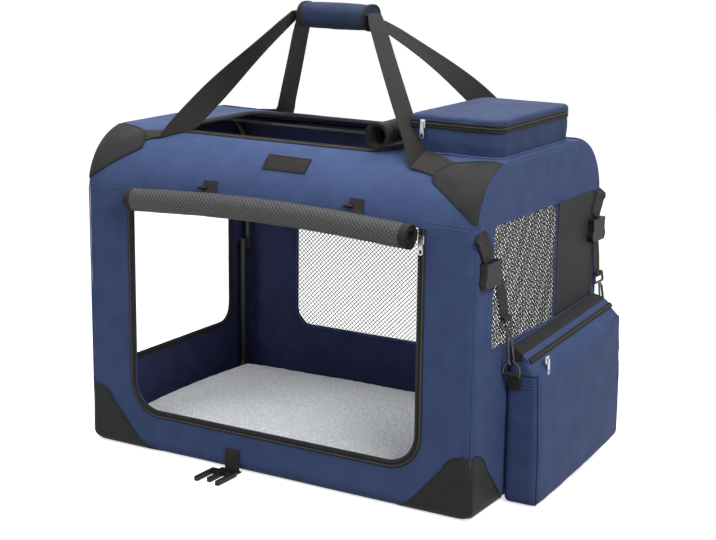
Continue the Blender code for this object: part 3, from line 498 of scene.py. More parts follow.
def round_section(radius, sides=8):
    """A cord's section."""
    return [(radius * math.cos(a), radius * math.sin(a))
            for a in np.linspace(0, 2 * math.pi, sides, endpoint=False)]


def stitches(name, path, normal, look, closed=False, gauge=0.0045, length=0.0030, width=0.0009):
    """A row of sewn stitches: short raised threads along a path, each of three rings of four."""
    points = spaced(path, gauge, closed)
    along = tangents(points, closed)
    side = unit(np.cross(along, np.broadcast_to(np.asarray(normal, float), points.shape)))
    up = np.cross(side, along)
    rings = []
    for reach, wide, high in ((-0.5, 0.35, 0.1), (0.0, 0.5, 0.55), (0.5, 0.35, 0.1)):
        centre = points + along * length * reach + up * (width * high)
        rings += [centre - side * width * wide, centre + up * width * 0.4,
                  centre + side * width * wide, centre - up * width * 0.6]
    thread = [(ring + corner, ring + (corner + 1) % 4, ring + 4 + (corner + 1) % 4, ring + 4 + corner)
              for ring in (0, 4) for corner in range(4)]
    thread += [(3, 2, 1, 0), (8, 9, 10, 11)]
    faces = [[12 * index + corner for corner in face] for index in range(len(points))
             for face in thread]
    mesh = plain_mesh(name, np.stack(rings, axis=1).reshape(-1, 3).tolist(), faces)
    face_outwards(mesh)
    return smooth(new_piece(name, mesh, look), 60)


def prism(outline, place):
    """A cutter: a flat outline taken from one depth to another by the place function."""
    count = len(outline)
    verts = [place(a, b, 0) for a, b in outline] + [place(a, b, 1) for a, b in outline]
    faces = [tuple(range(count)), tuple(range(2 * count - 1, count - 1, -1))]
    for index in range(count):
        after = (index + 1) % count
        faces.append((index, index + count, after + count, after))
    mesh = plain_mesh("cutter", verts, faces)
    face_outwards(mesh)
    return linked("cutter", mesh)


def cut_out(obj, cutters):
    """Cuts the openings out of a piece and removes the cutters."""
    for cutter in cutters:
        hole = obj.modifiers.new("opening", "BOOLEAN")
        hole.operation = "DIFFERENCE"
        hole.solver = "EXACT"
        hole.object = cutter
    settle(obj)
    for cutter in cutters:
        bpy.data.objects.remove(cutter, do_unlink=True)
    return obj


def wear(piece, body, replaced=(), fold=None):
    """Puts a finished piece on its body and hides the CAD nodes it replaces; a soft piece gets a mesh of its
    own.
    """
    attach(piece, body)
    if replaced:
        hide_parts(*replaced)
    if fold == "wall":
        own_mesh(piece)
    if fold == "roof":
        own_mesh(piece)
    if fold == "handle":
        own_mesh(piece)
    return piece


def sew(name, path, section, across, look, body, fold=None, closed=False, replaced=()):
    """Sweeps a band or a cord along a path and wears it."""
    return wear(sweep(name, path, section, across, look, closed), body, replaced, fold)


def sew_row(name, path, normal, look, body, slot, fold=None, closed=False, **sizes):
    """Makes a row of stitches along a path and wears it."""
    return wear(stitches(name, path, normal, look, closed, **sizes), body, (), fold)


# The sewn body: its walls run round a rectangle with round corners and a rolled foot

straight_x = 2 * (half_length - edge_round)
straight_y = 2 * (half_depth - edge_round)
quarter = edge_round * math.pi / 2
girth = 2 * (straight_x + straight_y) + 4 * quarter
right_middle = straight_x + quarter + straight_y / 2
left_middle = 2 * straight_x + 3 * quarter + straight_y * 1.5
# Each corner's place round the wall, and the way from it to the front or the back
wall_corners = {"front_right": (straight_x + quarter / 2, -1),
                "back_right": (straight_x + 1.5 * quarter + straight_y, 1),
                "back_left": (2 * straight_x + 2.5 * quarter + straight_y, -1),
                "front_left": (girth - quarter / 2, 1)}
roof_corners = [(depth_word + "_" + end_word, side_x, side_y)
                for depth_word, side_y in (("front", -1), ("back", 1))
                for end_word, side_x in (("left", -1), ("right", 1))]


def wall_point(s, z, out=0.0):
    """A point of the wall, s round from the front left, at height z, a little outwards."""
    inset = 0.0
    if z < foot_round:
        inset = foot_round - math.sqrt(max(foot_round ** 2 - (foot_round - z) ** 2, 0.0))
    x_reach = half_length - inset + out
    y_reach = half_depth - inset + out
    turn = edge_round + inset * 0.9 + out
    x_core = x_reach - turn
    y_core = y_reach - turn
    s = s % girth
    sides = ((straight_x, (-x_core, -y_reach), (x_core, -y_reach), (x_core, -y_core), -90),
             (straight_y, (x_reach, -y_core), (x_reach, y_core), (x_core, y_core), 0),
             (straight_x, (x_core, y_reach), (-x_core, y_reach), (-x_core, y_core), 90),
             (straight_y, (-x_reach, y_core), (-x_reach, -y_core), (-x_core, -y_core), 180))
    for length, start, end, centre, angle in sides:
        if s <= length:
            share = s / length
            return Vector((start[0] + (end[0] - start[0]) * share,
                           start[1] + (end[1] - start[1]) * share, z))
        s -= length
        if s <= quarter:
            a = math.radians(angle + 90 * s / quarter)
            return Vector((centre[0] + turn * math.cos(a), centre[1] + turn * math.sin(a), z))
        s -= quarter
    return wall_point(0.0, z, out)


def hem_height(s):
    """The walls end lower at the front and back than at the ends."""
    s = s % girth
    at_end = 0.0
    for middle in (right_middle, left_middle):
        reach = straight_y / 2 + quarter - abs(s - middle)
        at_end = max(at_end, smoothstep(reach / quarter))
    return front_hem + (end_hem - front_hem) * at_end


def near_opening(x, y, z):
    """0 at the edge of a wall's opening, 1 some way from it, to keep the cloth flat at the tape."""
    if abs(y) > half_depth - 0.02:
        low, high = ((-door_half, door_sill), (door_half, 0.45)) if y < 0 else windows["back"][:2]
        a, b = x, z
    else:
        low, high, _ = windows["left" if x < 0 else "right"]
        a, b = y, z
    gap = max(low[0] - a, a - high[0], low[1] - b, b - high[1])
    return smoothstep((abs(gap) - 0.016) / 0.03)


def wall_wave(s, z):
    """How far the stretched cloth stands in or out: long slack waves and small puckers at hems."""
    point = wall_point(s, z)
    calm = near_opening(*point)
    long_wave = ripple((s, z, 0.0), 0.16, 1) * 0.0016
    crease = ripple((s * 0.6, z, 1.0), 0.045, 2) * 0.0006
    hem = math.exp(-((hem_height(s) - z) / 0.010) ** 2)
    pucker = math.sin(s / 0.0062 * math.pi) * 0.00035 * hem
    seam = 0.0
    for corner, _ in wall_corners.values():
        away = abs((s - corner + girth / 2) % girth - girth / 2)
        seam -= 0.0016 * math.exp(-(away / 0.0024) ** 2)
    return (long_wave + crease) * calm + pucker + seam


def wall_heights():
    """The heights of the wall's rows, close together at the rolled foot."""
    foot = [foot_round * (1 - math.cos(a)) for a in np.linspace(0.0, math.pi / 2, 8)]
    return foot + list(np.linspace(foot_round, 1.0, 48)[1:])


def wall_columns():
    """The places of the wall's columns, close together at the corners."""
    marks = []
    start = 0.0
    for length, step in ((straight_x, 0.0078), (quarter, 0.0016), (straight_y, 0.0078),
                         (quarter, 0.0016)) * 2:
        count = max(int(round(length / step)), 6)
        marks += list(np.linspace(start, start + length, count, endpoint=False))
        start += length
    return marks


def wall_line(wall, outline, out=0.0):
    """A flat outline laid on the front, back, left or right wall."""
    if wall == "front":
        return [(a, -half_depth - out, b) for a, b in outline]
    if wall == "back":
        return [(a, half_depth + out, b) for a, b in outline]
    side = -1 if wall == "left" else 1
    return [(side * (half_length + out), a, b) for a, b in outline]


def wall_normal(wall):
    """The way a wall faces."""
    return {"front": (0, -1, 0), "back": (0, 1, 0), "left": (-1, 0, 0), "right": (1, 0, 0)}[wall]


def door_foot(grow, steps):
    """The door's lower edge from right to left, or a line outside it."""
    turn = door_corner + grow
    side = door_half + grow - turn
    height = door_sill - grow + turn
    return arc((side, height), turn, 0, -90, steps) + arc((-side, height), turn, -90, -180, steps)


def door_outline(grow):
    """The front door's edge, or a line outside it, from the top right round to the top left."""
    reach = door_half + grow
    ends = [(reach, front_hem), (reach, 0.25)]
    return ends + door_foot(grow, 12) + [(-a, b) for a, b in reversed(ends)]


def wall_cutter(wall, outline, deep=0.012):
    """A cutter through one wall."""
    side = 1 if wall in ("right", "back") else -1
    return prism(outline, lambda a, b, k: wall_line(wall, [(a, b)], side * deep * (2 * k - 1))[0])


def sewn_walls():
    """The four walls in one sheet, lined, with the door and the windows cut out."""
    rows = []
    columns = wall_columns()
    for level in wall_heights():
        row = []
        for s in columns:
            z = level if level <= foot_round else foot_round + (hem_height(s) - foot_round) * (
                (level - foot_round) / (1 - foot_round))
            row.append(wall_point(s, z, wall_wave(s, z)))
        rows.append(row)
    walls = lattice("sewn_walls", rows, [navy, shaded_inner_navy], wrap_columns=True)
    thicken(walls, cloth, lined=True)
    above = 0.50
    door = [(door_half, above), (door_half, door_sill + door_corner)]
    door += door_foot(0.0, 10) + [(-door_half, above)]
    cut_out(walls, [wall_cutter("front", door)] + [
        wall_cutter(wall, rounded(*window)) for wall, window in windows.items()])
    wear(walls, "base", ("front_panel", "back_panel", "left_panel", "right_panel"),
         "wall")
    openings = 2 * door_half * (front_hem - door_sill)
    for low, high, _ in windows.values():
        openings += (high[0] - low[0]) * (high[1] - low[1])


def corner_welts():
    """The upright seam at each corner: a narrow fold of the cloth with a row of stitches."""
    def outward(s):
        return wall_point(s, 0.2, 1.0) - wall_point(s, 0.2)

    for word, (corner, side) in wall_corners.items():
        path = [wall_point(corner, z, -0.0004) for z in np.linspace(0.085, 0.4275, 40)]
        sew("corner_welt_" + word, path, flat_section(0.0030, 0.0014, 0.0004),
            np.cross(outward(corner), (0, 0, 1)), navy, "base", "wall")
        beside = corner + side * 0.009
        line = [wall_point(beside, z, 0.0002) for z in np.linspace(0.10, 0.424, 60)]
        sew_row("corner_stitches_" + word, line, outward(beside), navy_thread, "base", "navy_cloth",
                "wall")


def floor_sheet():
    """The stiffened bottom: a board in cloth that closes the rolled foot of the walls."""
    line = rounded((-half_length + foot_round, -half_depth + foot_round),
                   (half_length - foot_round, half_depth - foot_round), 0.020, 0.004, 6)
    rows = []
    for height, share in ((0.0034, 0.0), (0.0034, 0.5), (0.0034, 0.97), (0.0028, 1.0),
                          (0.0006, 1.0), (0.0, 0.985), (0.0, 0.5), (0.0, 0.0)):
        rows.append([(x * share, y * share, height) for x, y in line])
    board = closed_shell("floor_board", rows, charcoal, 40.0, 0.00002)
    wear(board, "base", ("floor_panel",))


# Edges of the openings

def outline_across(path, normal, closed=False):
    """The direction across a band, in the cloth's plane."""
    along = tangents(np.asarray(path, float), closed)
    return np.cross(along, np.asarray(normal, float))


def edge_tape(name, wall, outline, width, closed, replaced=(), look=tape, thickness=0.0058):
    """Bias tape folded over an edge and sewn through: a flat tube that straddles the cloth."""
    path = spaced(wall_line(wall, outline, -cloth / 2), 0.006, closed)
    across = outline_across(path, wall_normal(wall), closed)
    section = flat_section(width, thickness, 0.0004)

    def crumple(rings):
        flat = rings.reshape(-1, 3)
        push = np.array([ripple(p, 0.018, 5) * 0.0004 for p in flat])
        return (flat + np.outer(push, wall_normal(wall))).reshape(rings.shape)

    binding = sweep(name, path, section, across, look, closed, crumple)
    wear(binding, "base", replaced, "wall")


def front_door_edge():
    """Black binding over the door's edge and, outside it, one thin line of zip on its tape."""
    edge_tape("door_binding", "front", door_outline(0.0032), 0.0072, False, ("front_binding",))
    for name, grow, width, thick, look in (("door_zip_tape", 0.0088, 0.0072, 0.0014, tape),
                                           ("door_zip_teeth", 0.0092, 0.0030, 0.0026, coil)):
        path = spaced(wall_line("front", door_outline(grow), 0.0006), 0.004)
        sew(name, path, flat_section(width, thick, 0.0004), outline_across(path, (0, -1, 0)), look,
            "base", "wall")
    line = wall_line("front", door_outline(0.0036), 0.0023)
    line[0] = (line[0][0], line[0][1], 0.394)
    wear(stitches("door_stitches", line, (0, -1, 0), dark_thread), "base",
         fold="wall")


def window_edges():
    """Binding round the open door at the left end, and navy hems round the meshed windows."""
    for name, wall, grow, width, thickness, look in (
            ("left_door_binding", "left", 0.004, 0.0105, 0.0058, tape),
            ("back_window_hem", "back", 0.002, 0.0060, 0.0044, navy),
            ("right_window_hem", "right", 0.002, 0.0050, 0.0036, navy)):
        edge_tape(name, wall, rounded(*windows[wall], grow), width, True, (), look, thickness)
        line = wall_line(wall, rounded(*windows[wall], 0.0135), 0.0003)
        sew_row(wall + "_window_stitches", line, wall_normal(wall), navy_thread, "base", "navy_cloth",
                "wall", closed=True)


def plain_panel():
    """The charcoal cloth beside the right window, behind a hem of the same width."""
    (_, low), (start, high), _ = windows["right"]
    end = 0.190
    rows = []
    for z in np.linspace(low, high, 26):
        rows.append([(half_length + 0.0004 + 0.0006 * ripple((y, z, 0.0), 0.05, 61), y, z)
                     for y in np.linspace(start + 0.004, end, 24)])
    panel = cut_cloth("charcoal_panel", rows, charcoal, (0.0, 0.1, 0.3))
    wear(panel, "base", fold="wall")
    path = [(half_length + 0.0014, end, z) for z in np.linspace(low, high, 40)]
    sew("charcoal_panel_seam", path, flat_section(0.0022, 0.0016), (0, 1, 0), tape, "base",
        "wall")


def window_net(wall):
    """Coated mesh, drawn with 8 mm cells so that each strand shows, sewn in behind the hem."""
    (left, low), (right, high), corner_radius = windows[wall]
    cell = 0.0080
    spare = 0.004
    columns = int((right - left + 2 * spare) / cell) + 1
    rows = int((high - low + 2 * spare) / cell) + 1
    knots = {}
    faces = []
    for row in range(-1, 2 * rows + 1):
        for column in range(-1, columns + 1):
            a = 2 * column + (row % 2)
            middle = (left - spare + a * cell / 2, low - spare + row * cell / 2)
            inside = (left - spare < middle[0] < right + spare) and (
                low - spare < middle[1] < high + spare)
            x_out = max(left + corner_radius - middle[0], middle[0] - right + corner_radius, 0.0)
            z_out = max(low + corner_radius - middle[1], middle[1] - high + corner_radius, 0.0)
            if inside and math.hypot(x_out, z_out) < corner_radius + spare:
                faces.append([knots.setdefault(knot, len(knots)) for knot in (
                    (a - 1, row), (a, row - 1), (a + 1, row), (a, row + 1))])
    depth = -0.0014
    points = []
    for a, b in knots:
        place = (left - spare + a * cell / 2, low - spare + b * cell / 2)
        sag = ripple((*place, 0.0), 0.12, 8) * 0.0008
        points.append(wall_line(wall, [place], depth + sag)[0])
    name = wall + "_window_net"
    net = new_piece(name, plain_mesh(name, points, faces), strand)
    wires = net.modifiers.new("strands", "WIREFRAME")
    wires.thickness = 0.0021
    wires.use_even_offset = False
    wires.use_relative_offset = False
    settle(net, 30)
    wear(net, "base", (wall + "_mesh",), "wall")


# The roof: one sheet over the shoulders, folded down at both ends

shoulder_y = half_depth - shoulder
shoulder_z = body_height - shoulder
roof_start = math.asin((front_hem - shoulder_z) / shoulder)
curve_run = shoulder * (math.pi / 2 - roof_start)
section_run = 2 * curve_run + 2 * shoulder_y


def roof_section(t, out=0.0):
    """Place and normal in Y and Z along the roof's section, t from the front hem to the back."""
    t = min(max(t, 0.0), section_run)
    if curve_run < t <= curve_run + 2 * shoulder_y:
        return -shoulder_y + t - curve_run, body_height + out, (0.0, 1.0)
    side = -1 if t <= curve_run else 1
    angle = roof_start + (t if side < 0 else section_run - t) / shoulder
    normal = (side * math.cos(angle), math.sin(angle))
    return (side * shoulder_y + normal[0] * (shoulder + out),
            shoulder_z + normal[1] * (shoulder + out), normal)


def shoulder_run(angle, side_y=-1):
    """The section's run at an angle above the level, on the front or the back shoulder."""
    t = (math.radians(angle) - roof_start) * shoulder
    return t if side_y < 0 else section_run - t


def roof_run(y):
    """The section's run at a place across the roof."""
    if abs(y) <= shoulder_y:
        return curve_run + y + shoulder_y
    run = (math.acos(min((abs(y) - shoulder_y) / shoulder, 1.0)) - roof_start) * shoulder
    return run if y < 0 else section_run - run


def roof_wave(x, t):
    """Slack in the roof: it hangs a little between the end hoops and the rails."""
    y = roof_section(t)[0]
    low, high, _ = roof_opening
    gap = max(low[0] - x, x - high[0], low[1] - y, y - high[1])
    calm = smoothstep((abs(gap) - 0.012) / 0.03)
    ends = smoothstep((half_length - abs(x)) / 0.05)
    wave = ripple((x, t, 3.0), 0.15, 3) * 0.0022 + ripple((x, t * 0.7, 4.0), 0.05, 4) * 0.0006
    bow = -0.0020 * math.sin(math.pi * (x + half_length) / (2 * half_length)) * ends
    hem = min(t, section_run - t)
    pucker = math.sin(x / 0.0062 * math.pi) * 0.00030 * math.exp(-(hem / 0.010) ** 2)
    return (wave + bow * 0.4) * calm * ends + pucker


def roof_point(x, t, out=0.0):
    """A point of the roof. Past the end of the flat run the sheet turns down the end."""
    turn = edge_round
    core = half_length - turn
    beyond = abs(x) - core
    side = 1 if x >= 0 else -1
    if beyond <= 0:
        y, z, _ = roof_section(t, out)
        return Vector((x, y, z))
    quarter_run = turn * math.pi / 2
    if beyond <= quarter_run:
        a = beyond / turn
        y, z, _ = roof_section(t, -turn + (turn + out) * math.cos(a))
        return Vector((side * (core + (turn + out) * math.sin(a)), y, z))
    y, z, _ = roof_section(t, -turn)
    fall = beyond - quarter_run
    drop = max(z - end_hem, 0.0)
    return Vector((side * (half_length + out), y, z - drop * min(fall, 1.0)))


def roof_columns():
    """The roof's columns from left to right, with both turned-down ends."""
    turn_run = edge_round * math.pi / 2
    core = half_length - edge_round
    end = [core + turn_run + share for share in np.linspace(1.0, 0.0, 14)]
    turn = list(np.linspace(core + turn_run, core, 7))[1:-1]
    middle = list(np.linspace(core, -core, 104))
    half = end + turn
    return half + middle + [-x for x in reversed(half)]


def roof_sheet():
    """The lined roof, with its opening cut out."""
    runs = np.linspace(0.0, section_run, 84)
    rows = []
    for t in runs:
        rows.append([roof_point(x, t, roof_wave(x, t) if abs(x) < half_length else 0.0)
                     for x in roof_columns()])
    roof = orient(weld(lattice("roof_cloth", rows, [navy, shaded_inner_navy])), (0.0, 0.0, 0.3))
    thicken(roof, cloth, lined=True)
    cut_out(roof, [prism(rounded(*roof_opening), lambda a, b, k: (a, b, 0.47 + 0.08 * k))])
    wear(roof, "roof", ("top_cap",), "roof")


def roof_line(line, out):
    """A flat outline seen from above, laid on the roof."""
    return [tuple(roof_point(x, roof_run(y), out)) for x, y in line]


def roof_normals(points):
    """The roof's outward direction at each point."""
    return np.array([(0.0, *roof_section(roof_run(point[1]))[2]) for point in points])


def roof_edge():
    """Tape and zip round the roof's opening."""
    for name, grow, out, width, thick, rise, look, replaced in (
            ("roof_opening_binding", 0.0028, -0.001, 0.0070, 0.0052, 0.0004, tape, ("top_binding",)),
            ("roof_zip_tape", 0.0086, 0.0010, 0.0066, 0.0014, 0.0, tape, ()),
            ("roof_zip_teeth", 0.0088, 0.0010, 0.0028, 0.0026, 0.0, coil, ())):
        path = spaced(roof_line(rounded(*roof_opening, grow), out), 0.006, True)
        across = np.cross(tangents(path, True), roof_normals(path))
        sew(name, path, flat_section(width, thick, rise), across, look, "roof",
            "roof", closed=True, replaced=replaced)


def roof_seams():
    """The double row of stitches above each hem, and the welt round each end of the roof."""
    end = 0.340
    for word, spans in (("front", ((-end, -0.270), (0.270, end))), ("back", ((-end, end),))):
        for row, t in (("low", 0.0035), ("high", 0.0095)):
            run = t if word == "front" else section_run - t
            for index, span in enumerate(spans):
                line = [roof_point(x, run, roof_wave(x, run) + 0.0003) for x in np.linspace(*span, 60)]
                sew_row("hem_stitches_{}_{}_{}".format(word, row, index), line,
                        (0, *roof_section(run)[2]), navy_thread, "roof", "navy_cloth", "roof")
    corner = half_length - edge_round + edge_round * math.pi / 4
    for word, side in (("left", -1), ("right", 1)):
        path = [roof_point(side * corner, t, 0.0002) for t in np.linspace(0.012, section_run - 0.012, 90)]
        sew("roof_end_welt_" + word, path, round_section(0.0011, 6), (side, 0, 0), navy, "roof",
            "roof")


def crease_point(x, angle, side_y, out):
    """A point over the smooth shoulder, at an angle above the level."""
    return tuple(roof_point(x, shoulder_run(angle, side_y), out))


def patch_point(x, angle, side_y, out):
    """A point of a shoulder patch, raised where the webbing runs in under its edge."""
    t = shoulder_run(angle, side_y)
    over = math.exp(-((angle - 57.5) / 13.0) ** 4 - (max(abs(x) - 0.292, 0.0) / 0.012) ** 2)
    return tuple(roof_point(x, t, roof_wave(x, t) * (1 - over) + out + 0.0026 * over))


def shoulder_patches():
    """Charcoal patches over the shoulders' ends, cut to a point, with a corded edge."""
    edge = half_length - edge_round * 0.25
    foot, turn, top = 13.0, 45.0, 78.0
    foot_reach, full_reach = 0.004, 0.086

    def reach(angle):
        """How far the patch runs in from the end, straight to a rounded upper corner."""
        if angle < turn:
            return foot_reach + (full_reach - foot_reach) * (angle - foot) / (turn - foot)
        share = (angle - turn) / (top - turn)
        return full_reach * math.sqrt(max(1 - share ** 2.2, 0.0)) + 0.001

    for place, side_x, side_y in roof_corners:
        rows = []
        inner = []
        for share in np.linspace(0.0, 1.0, 52):
            angle = foot + (top - foot) * (1 - (1 - share) ** 1.5)
            start = edge - reach(angle)
            rows.append([patch_point(side_x * x, angle, side_y, 0.0003)
                         for x in np.linspace(start, edge, 22)])
            inner.append((side_x * start, angle))
        patch = cut_cloth("shoulder_patch_" + place, rows, charcoal, (0.0, 0.0, 0.40))
        wear(patch, "roof", ("top_patch_" + place,), "roof")
        cord = [patch_point(x, angle, side_y, 0.0012) for x, angle in inner]
        sew("patch_cord_" + place, spaced(cord, 0.004), round_section(0.0013, 6), (side_x, 0, 0), tape,
            "roof", "roof")
        line = [patch_point(x + side_x * 0.0050, angle, side_y, 0.0016) for x, angle in inner[2:-8]]
        sew_row("patch_stitches_" + place, line, roof_normals(spaced(line, 0.0045)), dark_thread,
                "roof", "charcoal_cloth", "roof")


def foot_patches():
    """Charcoal patches that wrap the lower corners, domed at the top and rolled at the foot."""
    height, waist = 0.100, 0.078
    foot_reach, waist_reach = 0.112, 0.042

    def half_width(z):
        """Straight up to a round shoulder, as the patch is cut."""
        if z < waist:
            return foot_reach - (foot_reach - waist_reach) * z / waist
        return waist_reach * math.sqrt(max(1 - ((z - waist) / (height - waist)) ** 2, 0.0))

    for word, (corner, side) in wall_corners.items():
        rows = []
        edges = []
        for level in np.linspace(0.0, 1.0, 34):
            z = height * (1 - (1 - level) ** 1.4)
            wide = max(half_width(z), quarter * 1.02)
            start, end = (corner + way * wide * (1.0 if way == side else 0.97) for way in (-1, 1))
            marks = sorted({*np.linspace(start, corner - quarter, 12),
                            *np.linspace(corner - quarter, corner + quarter, 13),
                            *np.linspace(corner + quarter, end, 12)})
            rows.append([wall_point(s, z, wall_wave(s, z) + 0.0004) for s in marks])
            edges.append((start, end, z))
        patch = cut_cloth("foot_patch_cloth_" + word, rows, charcoal, (0.0, 0.0, 0.05))
        wear(patch, "base", ("foot_patch_" + word,), "wall")
        line = [wall_point(start, z, 0.0012) for start, _, z in edges[1:]]
        line = spaced(line + [wall_point(end, z, 0.0012) for _, end, z in reversed(edges[1:])], 0.004)
        middle = wall_point(corner, 0.05)
        outward = line - np.array([(middle.x * 0.6, middle.y * 0.4, z) for z in line[:, 2]])
        sew("foot_patch_cord_" + word, line, round_section(0.0013, 6),
            np.cross(tangents(line), unit(outward)), tape, "base", "wall")


# Webbing, rolled doors, storage box, handle, bag and pad

def spiral(inner, outer, turns, thickness, start, steps=88):
    """The section of a sheet wound up, and each of its points' place along the flat sheet."""
    shares = np.linspace(0.0, 1.0, steps + 1)
    angles = math.radians(start) + 2 * math.pi * turns * shares
    radii = inner + (outer - inner) * shares
    ways = np.stack([np.cos(angles), np.sin(angles)], axis=1)
    outside = ways * radii[:, None]
    inside = ways * (radii[:, None] - thickness)
    flat = travelled(outside)
    return np.vstack([outside, inside[::-1]]), np.concatenate([flat, flat[::-1]])


def wound_door(name, start, end, radius, hollow, turns, across, replaced, seed, bow=0.0):
    """A mesh door rolled up: a sheet wound in a spiral, hemmed with plain tape at both ends."""
    start, end = np.array(start), np.array(end)
    length = float(np.linalg.norm(end - start))
    hem = 0.0125
    marks = np.concatenate([np.linspace(0.0, hem, 5)[:-1],
                            np.linspace(hem, length - hem, int(length / 0.006)),
                            np.linspace(length - hem, length, 5)[1:]]) / length
    path = start + (end - start) * marks[:, None]
    path[:, 2] += bow * np.sin(math.pi * marks)
    section, flat = spiral(hollow, radius, turns, 0.0016, 150.0)
    swells = [1.0 + 0.022 * ripple((share * length, 0, 0), 0.05, seed)
              + 0.02 * ripple((share * length, 1, 0), 0.018, seed)
              + (0.012 if min(share, 1 - share) * length < 0.0120 else 0.0) for share in marks]
    sections = section * np.array(swells)[:, None, None]
    roll = sweep(name, path, sections, across, [roll_mesh, tape], cut=flat)
    for polygon in roll.data.polygons:
        along = (np.array(polygon.center) - start) @ (end - start) / length
        if min(along, length - along) < hem - 0.0001:
            polygon.material_index = 1
    float(max(flat))
    wear(roll, "roof", replaced, "roof")


def front_roll():
    """The front door rolled up under the header, lifted in its middle by two tabs with toggles."""
    roll_y = -0.2415
    wound_door("rolled_front_door", (-0.246, roll_y, 0.4200), (0.256, roll_y, 0.4190), 0.0200,
               0.0098, 3.4, (0, 0, 1), ("front_door_roll",), 11, 0.0095)
    for word, x in (("left", -0.110), ("right", 0.151)):
        path = [crease_point(x, angle, -1, 0.0016 + 0.0070 * smoothstep((15.0 - angle) / 12.0))
                for angle in np.linspace(22.0, 6.0, 12)]
        sew("roll_tie_" + word + "_webbing", spaced(path, 0.002), flat_section(0.0250, 0.0030),
            (1, 0, 0), webbing, "roof", "roof", replaced=("roll_tie_" + word,))
        toggle = Vector(crease_point(x, 15.0, -1, 0.0040))
        bar = [toggle + Vector((shift, 0, 0)) for shift in np.linspace(-0.0190, -0.0040, 8)]
        sew("roll_toggle_" + word, bar, round_section(0.0024, 10), (0, 0, 1), acetal, "roof",
            "roof")


def roof_roll():
    """The top door rolled up beside its opening, loosely, with a wide hollow."""
    x, z = 0.146, 0.5425
    wound_door("rolled_roof_door", (x, -0.152, z), (x, 0.110, z), 0.0205, 0.0150, 2.2, (1, 0, 0),
               ("top_door_roll",), 12)


def label():
    """The bare dark patch on the front header, stitched down on all sides."""
    left, right = -0.026, 0.050
    low, high = 38.5, 54.5

    def label_point(x, angle, out):
        t = shoulder_run(angle)
        return roof_point(x, t, roof_wave(x, t) + out)

    rows = [[label_point(x, angle, 0.0004) for x in np.linspace(left, right, 22)]
            for angle in np.linspace(high, low, 9)]
    patch = cut_cloth("plain_patch", rows, tape, (0.0, 0.0, 0.3), 0.0016)
    wear(patch, "roof", ("bare_patch",), "roof")
    inset, turn = 0.0025, 1.3
    corners = [(left + inset, high - turn), (right - inset, high - turn),
               (right - inset, low + turn), (left + inset, low + turn)]
    path = [label_point(x0 + (x1 - x0) * share, a0 + (a1 - a0) * share, 0.0021)
            for (x0, a0), (x1, a1) in zip(corners, corners[1:] + corners[:1])
            for share in np.linspace(0, 1, 20, endpoint=False)]
    gauge = 0.0034
    sew_row("plain_patch_stitches", path, roof_normals(spaced(path, gauge, True)), dark_thread,
            "roof", "charcoal_cloth", "roof", closed=True, gauge=gauge, length=0.0024, width=0.0007)


grip_x, grip_z = -0.015, 0.700
# Half the straps' width, and where they run in under the shoulder patches
strap_half = 0.019
strap_end_x, strap_end_high, strap_end_low = 0.296, 69.0, 48.0


def strap(name, side_x, side_y):
    """One handle strap: from the grip it hangs to the shoulder, creases there and runs to the patch."""
    start = np.array([grip_x + side_x * 0.0600, side_y * 0.007, grip_z - side_y * 0.006])
    lead = start + np.array([side_x * 0.010, 0.0, 0.0])
    x_top, top, x_foot, foot = (0.2143, 87.0, 0.2190, 55.0) if side_x * side_y < 0 else (
        0.1985, 78.0, 0.2400, 60.0)
    high = np.array(crease_point(side_x * x_top, top, side_y, 0.0030))
    low = np.array(crease_point(side_x * x_foot, foot, side_y, 0.0034))
    end = (high + low) / 2
    slack = 0.75 if side_x > 0 else 0.2
    first = lead + (end - lead) / 3 + np.array([0.0, side_y * 0.014, 0.014]) * slack
    second = lead + (end - lead) * 2 / 3 + np.array([side_x * 0.012, side_y * 0.030, 0.010]) * slack
    rows = []
    travel = []
    for share in np.linspace(0.0, 1.0, 40):
        a = (1 - share) ** 3 * lead + 3 * (1 - share) ** 2 * share * first
        centre = a + 3 * (1 - share) * share ** 2 * second + share ** 3 * end
        d = 3 * (1 - share) ** 2 * (first - lead) + 6 * (1 - share) * share * (second - first) + (
            3 * share ** 2 * (end - second))
        along = d / np.linalg.norm(d)
        turn = smoothstep(share)
        wide = np.array([0.0, side_y, 0.0]) * (1 - turn) + (low - end) / np.linalg.norm(low - end) * turn
        square = min(share / 0.15, (1 - share) / 0.12, 1.0)
        wide = wide - along * (wide @ along) * square
        half = strap_half + (np.linalg.norm(low - end) - strap_half) * (
            smoothstep((share - 0.88) / 0.12))
        wide = wide / np.linalg.norm(wide) * half
        curl = np.cross(wide, along) / half * 0.0010 * math.sin(math.pi * share)
        rows.append([centre + wide * w + curl * (1 - w * w) for w in np.linspace(-1, 1, 9)])
        travel.append(centre)
    under_grip = np.array([side_x * 0.012, 0, 0])
    rows.insert(0, [p - under_grip for p in rows[0]])
    travel.insert(0, travel[0] - under_grip)
    for share in np.linspace(0.06, 1.0, 14):
        x_high = x_top + (strap_end_x - x_top) * share
        x_low = x_foot + (strap_end_x - x_foot) * share
        a_high = top + (strap_end_high - top) * smoothstep(share * 1.1)
        a_low = foot + (strap_end_low - foot) * smoothstep(share * 1.1)
        lift = 0.0013 + 0.0019 * (1 - smoothstep(share * 3))
        rows.append([crease_point(side_x * (x_high + (x_low - x_high) * k),
                                  a_high + (a_low - a_high) * k, side_y, lift)
                     for k in np.linspace(0, 1, 9)])
        travel.append(np.array(rows[-1][4]))
    uv = [[(run, w * strap_half) for w in np.linspace(-1, 1, 9)]
          for run in travelled(np.array(travel))]
    band = lattice(name, np.array([[tuple(p) for p in row] for row in rows]), webbing, uv=uv)
    thicken(band, 0.0020, 0.0, angle=50.0)
    wear(band, "roof", (name.replace("webbing_", "handle_"),), "handle")


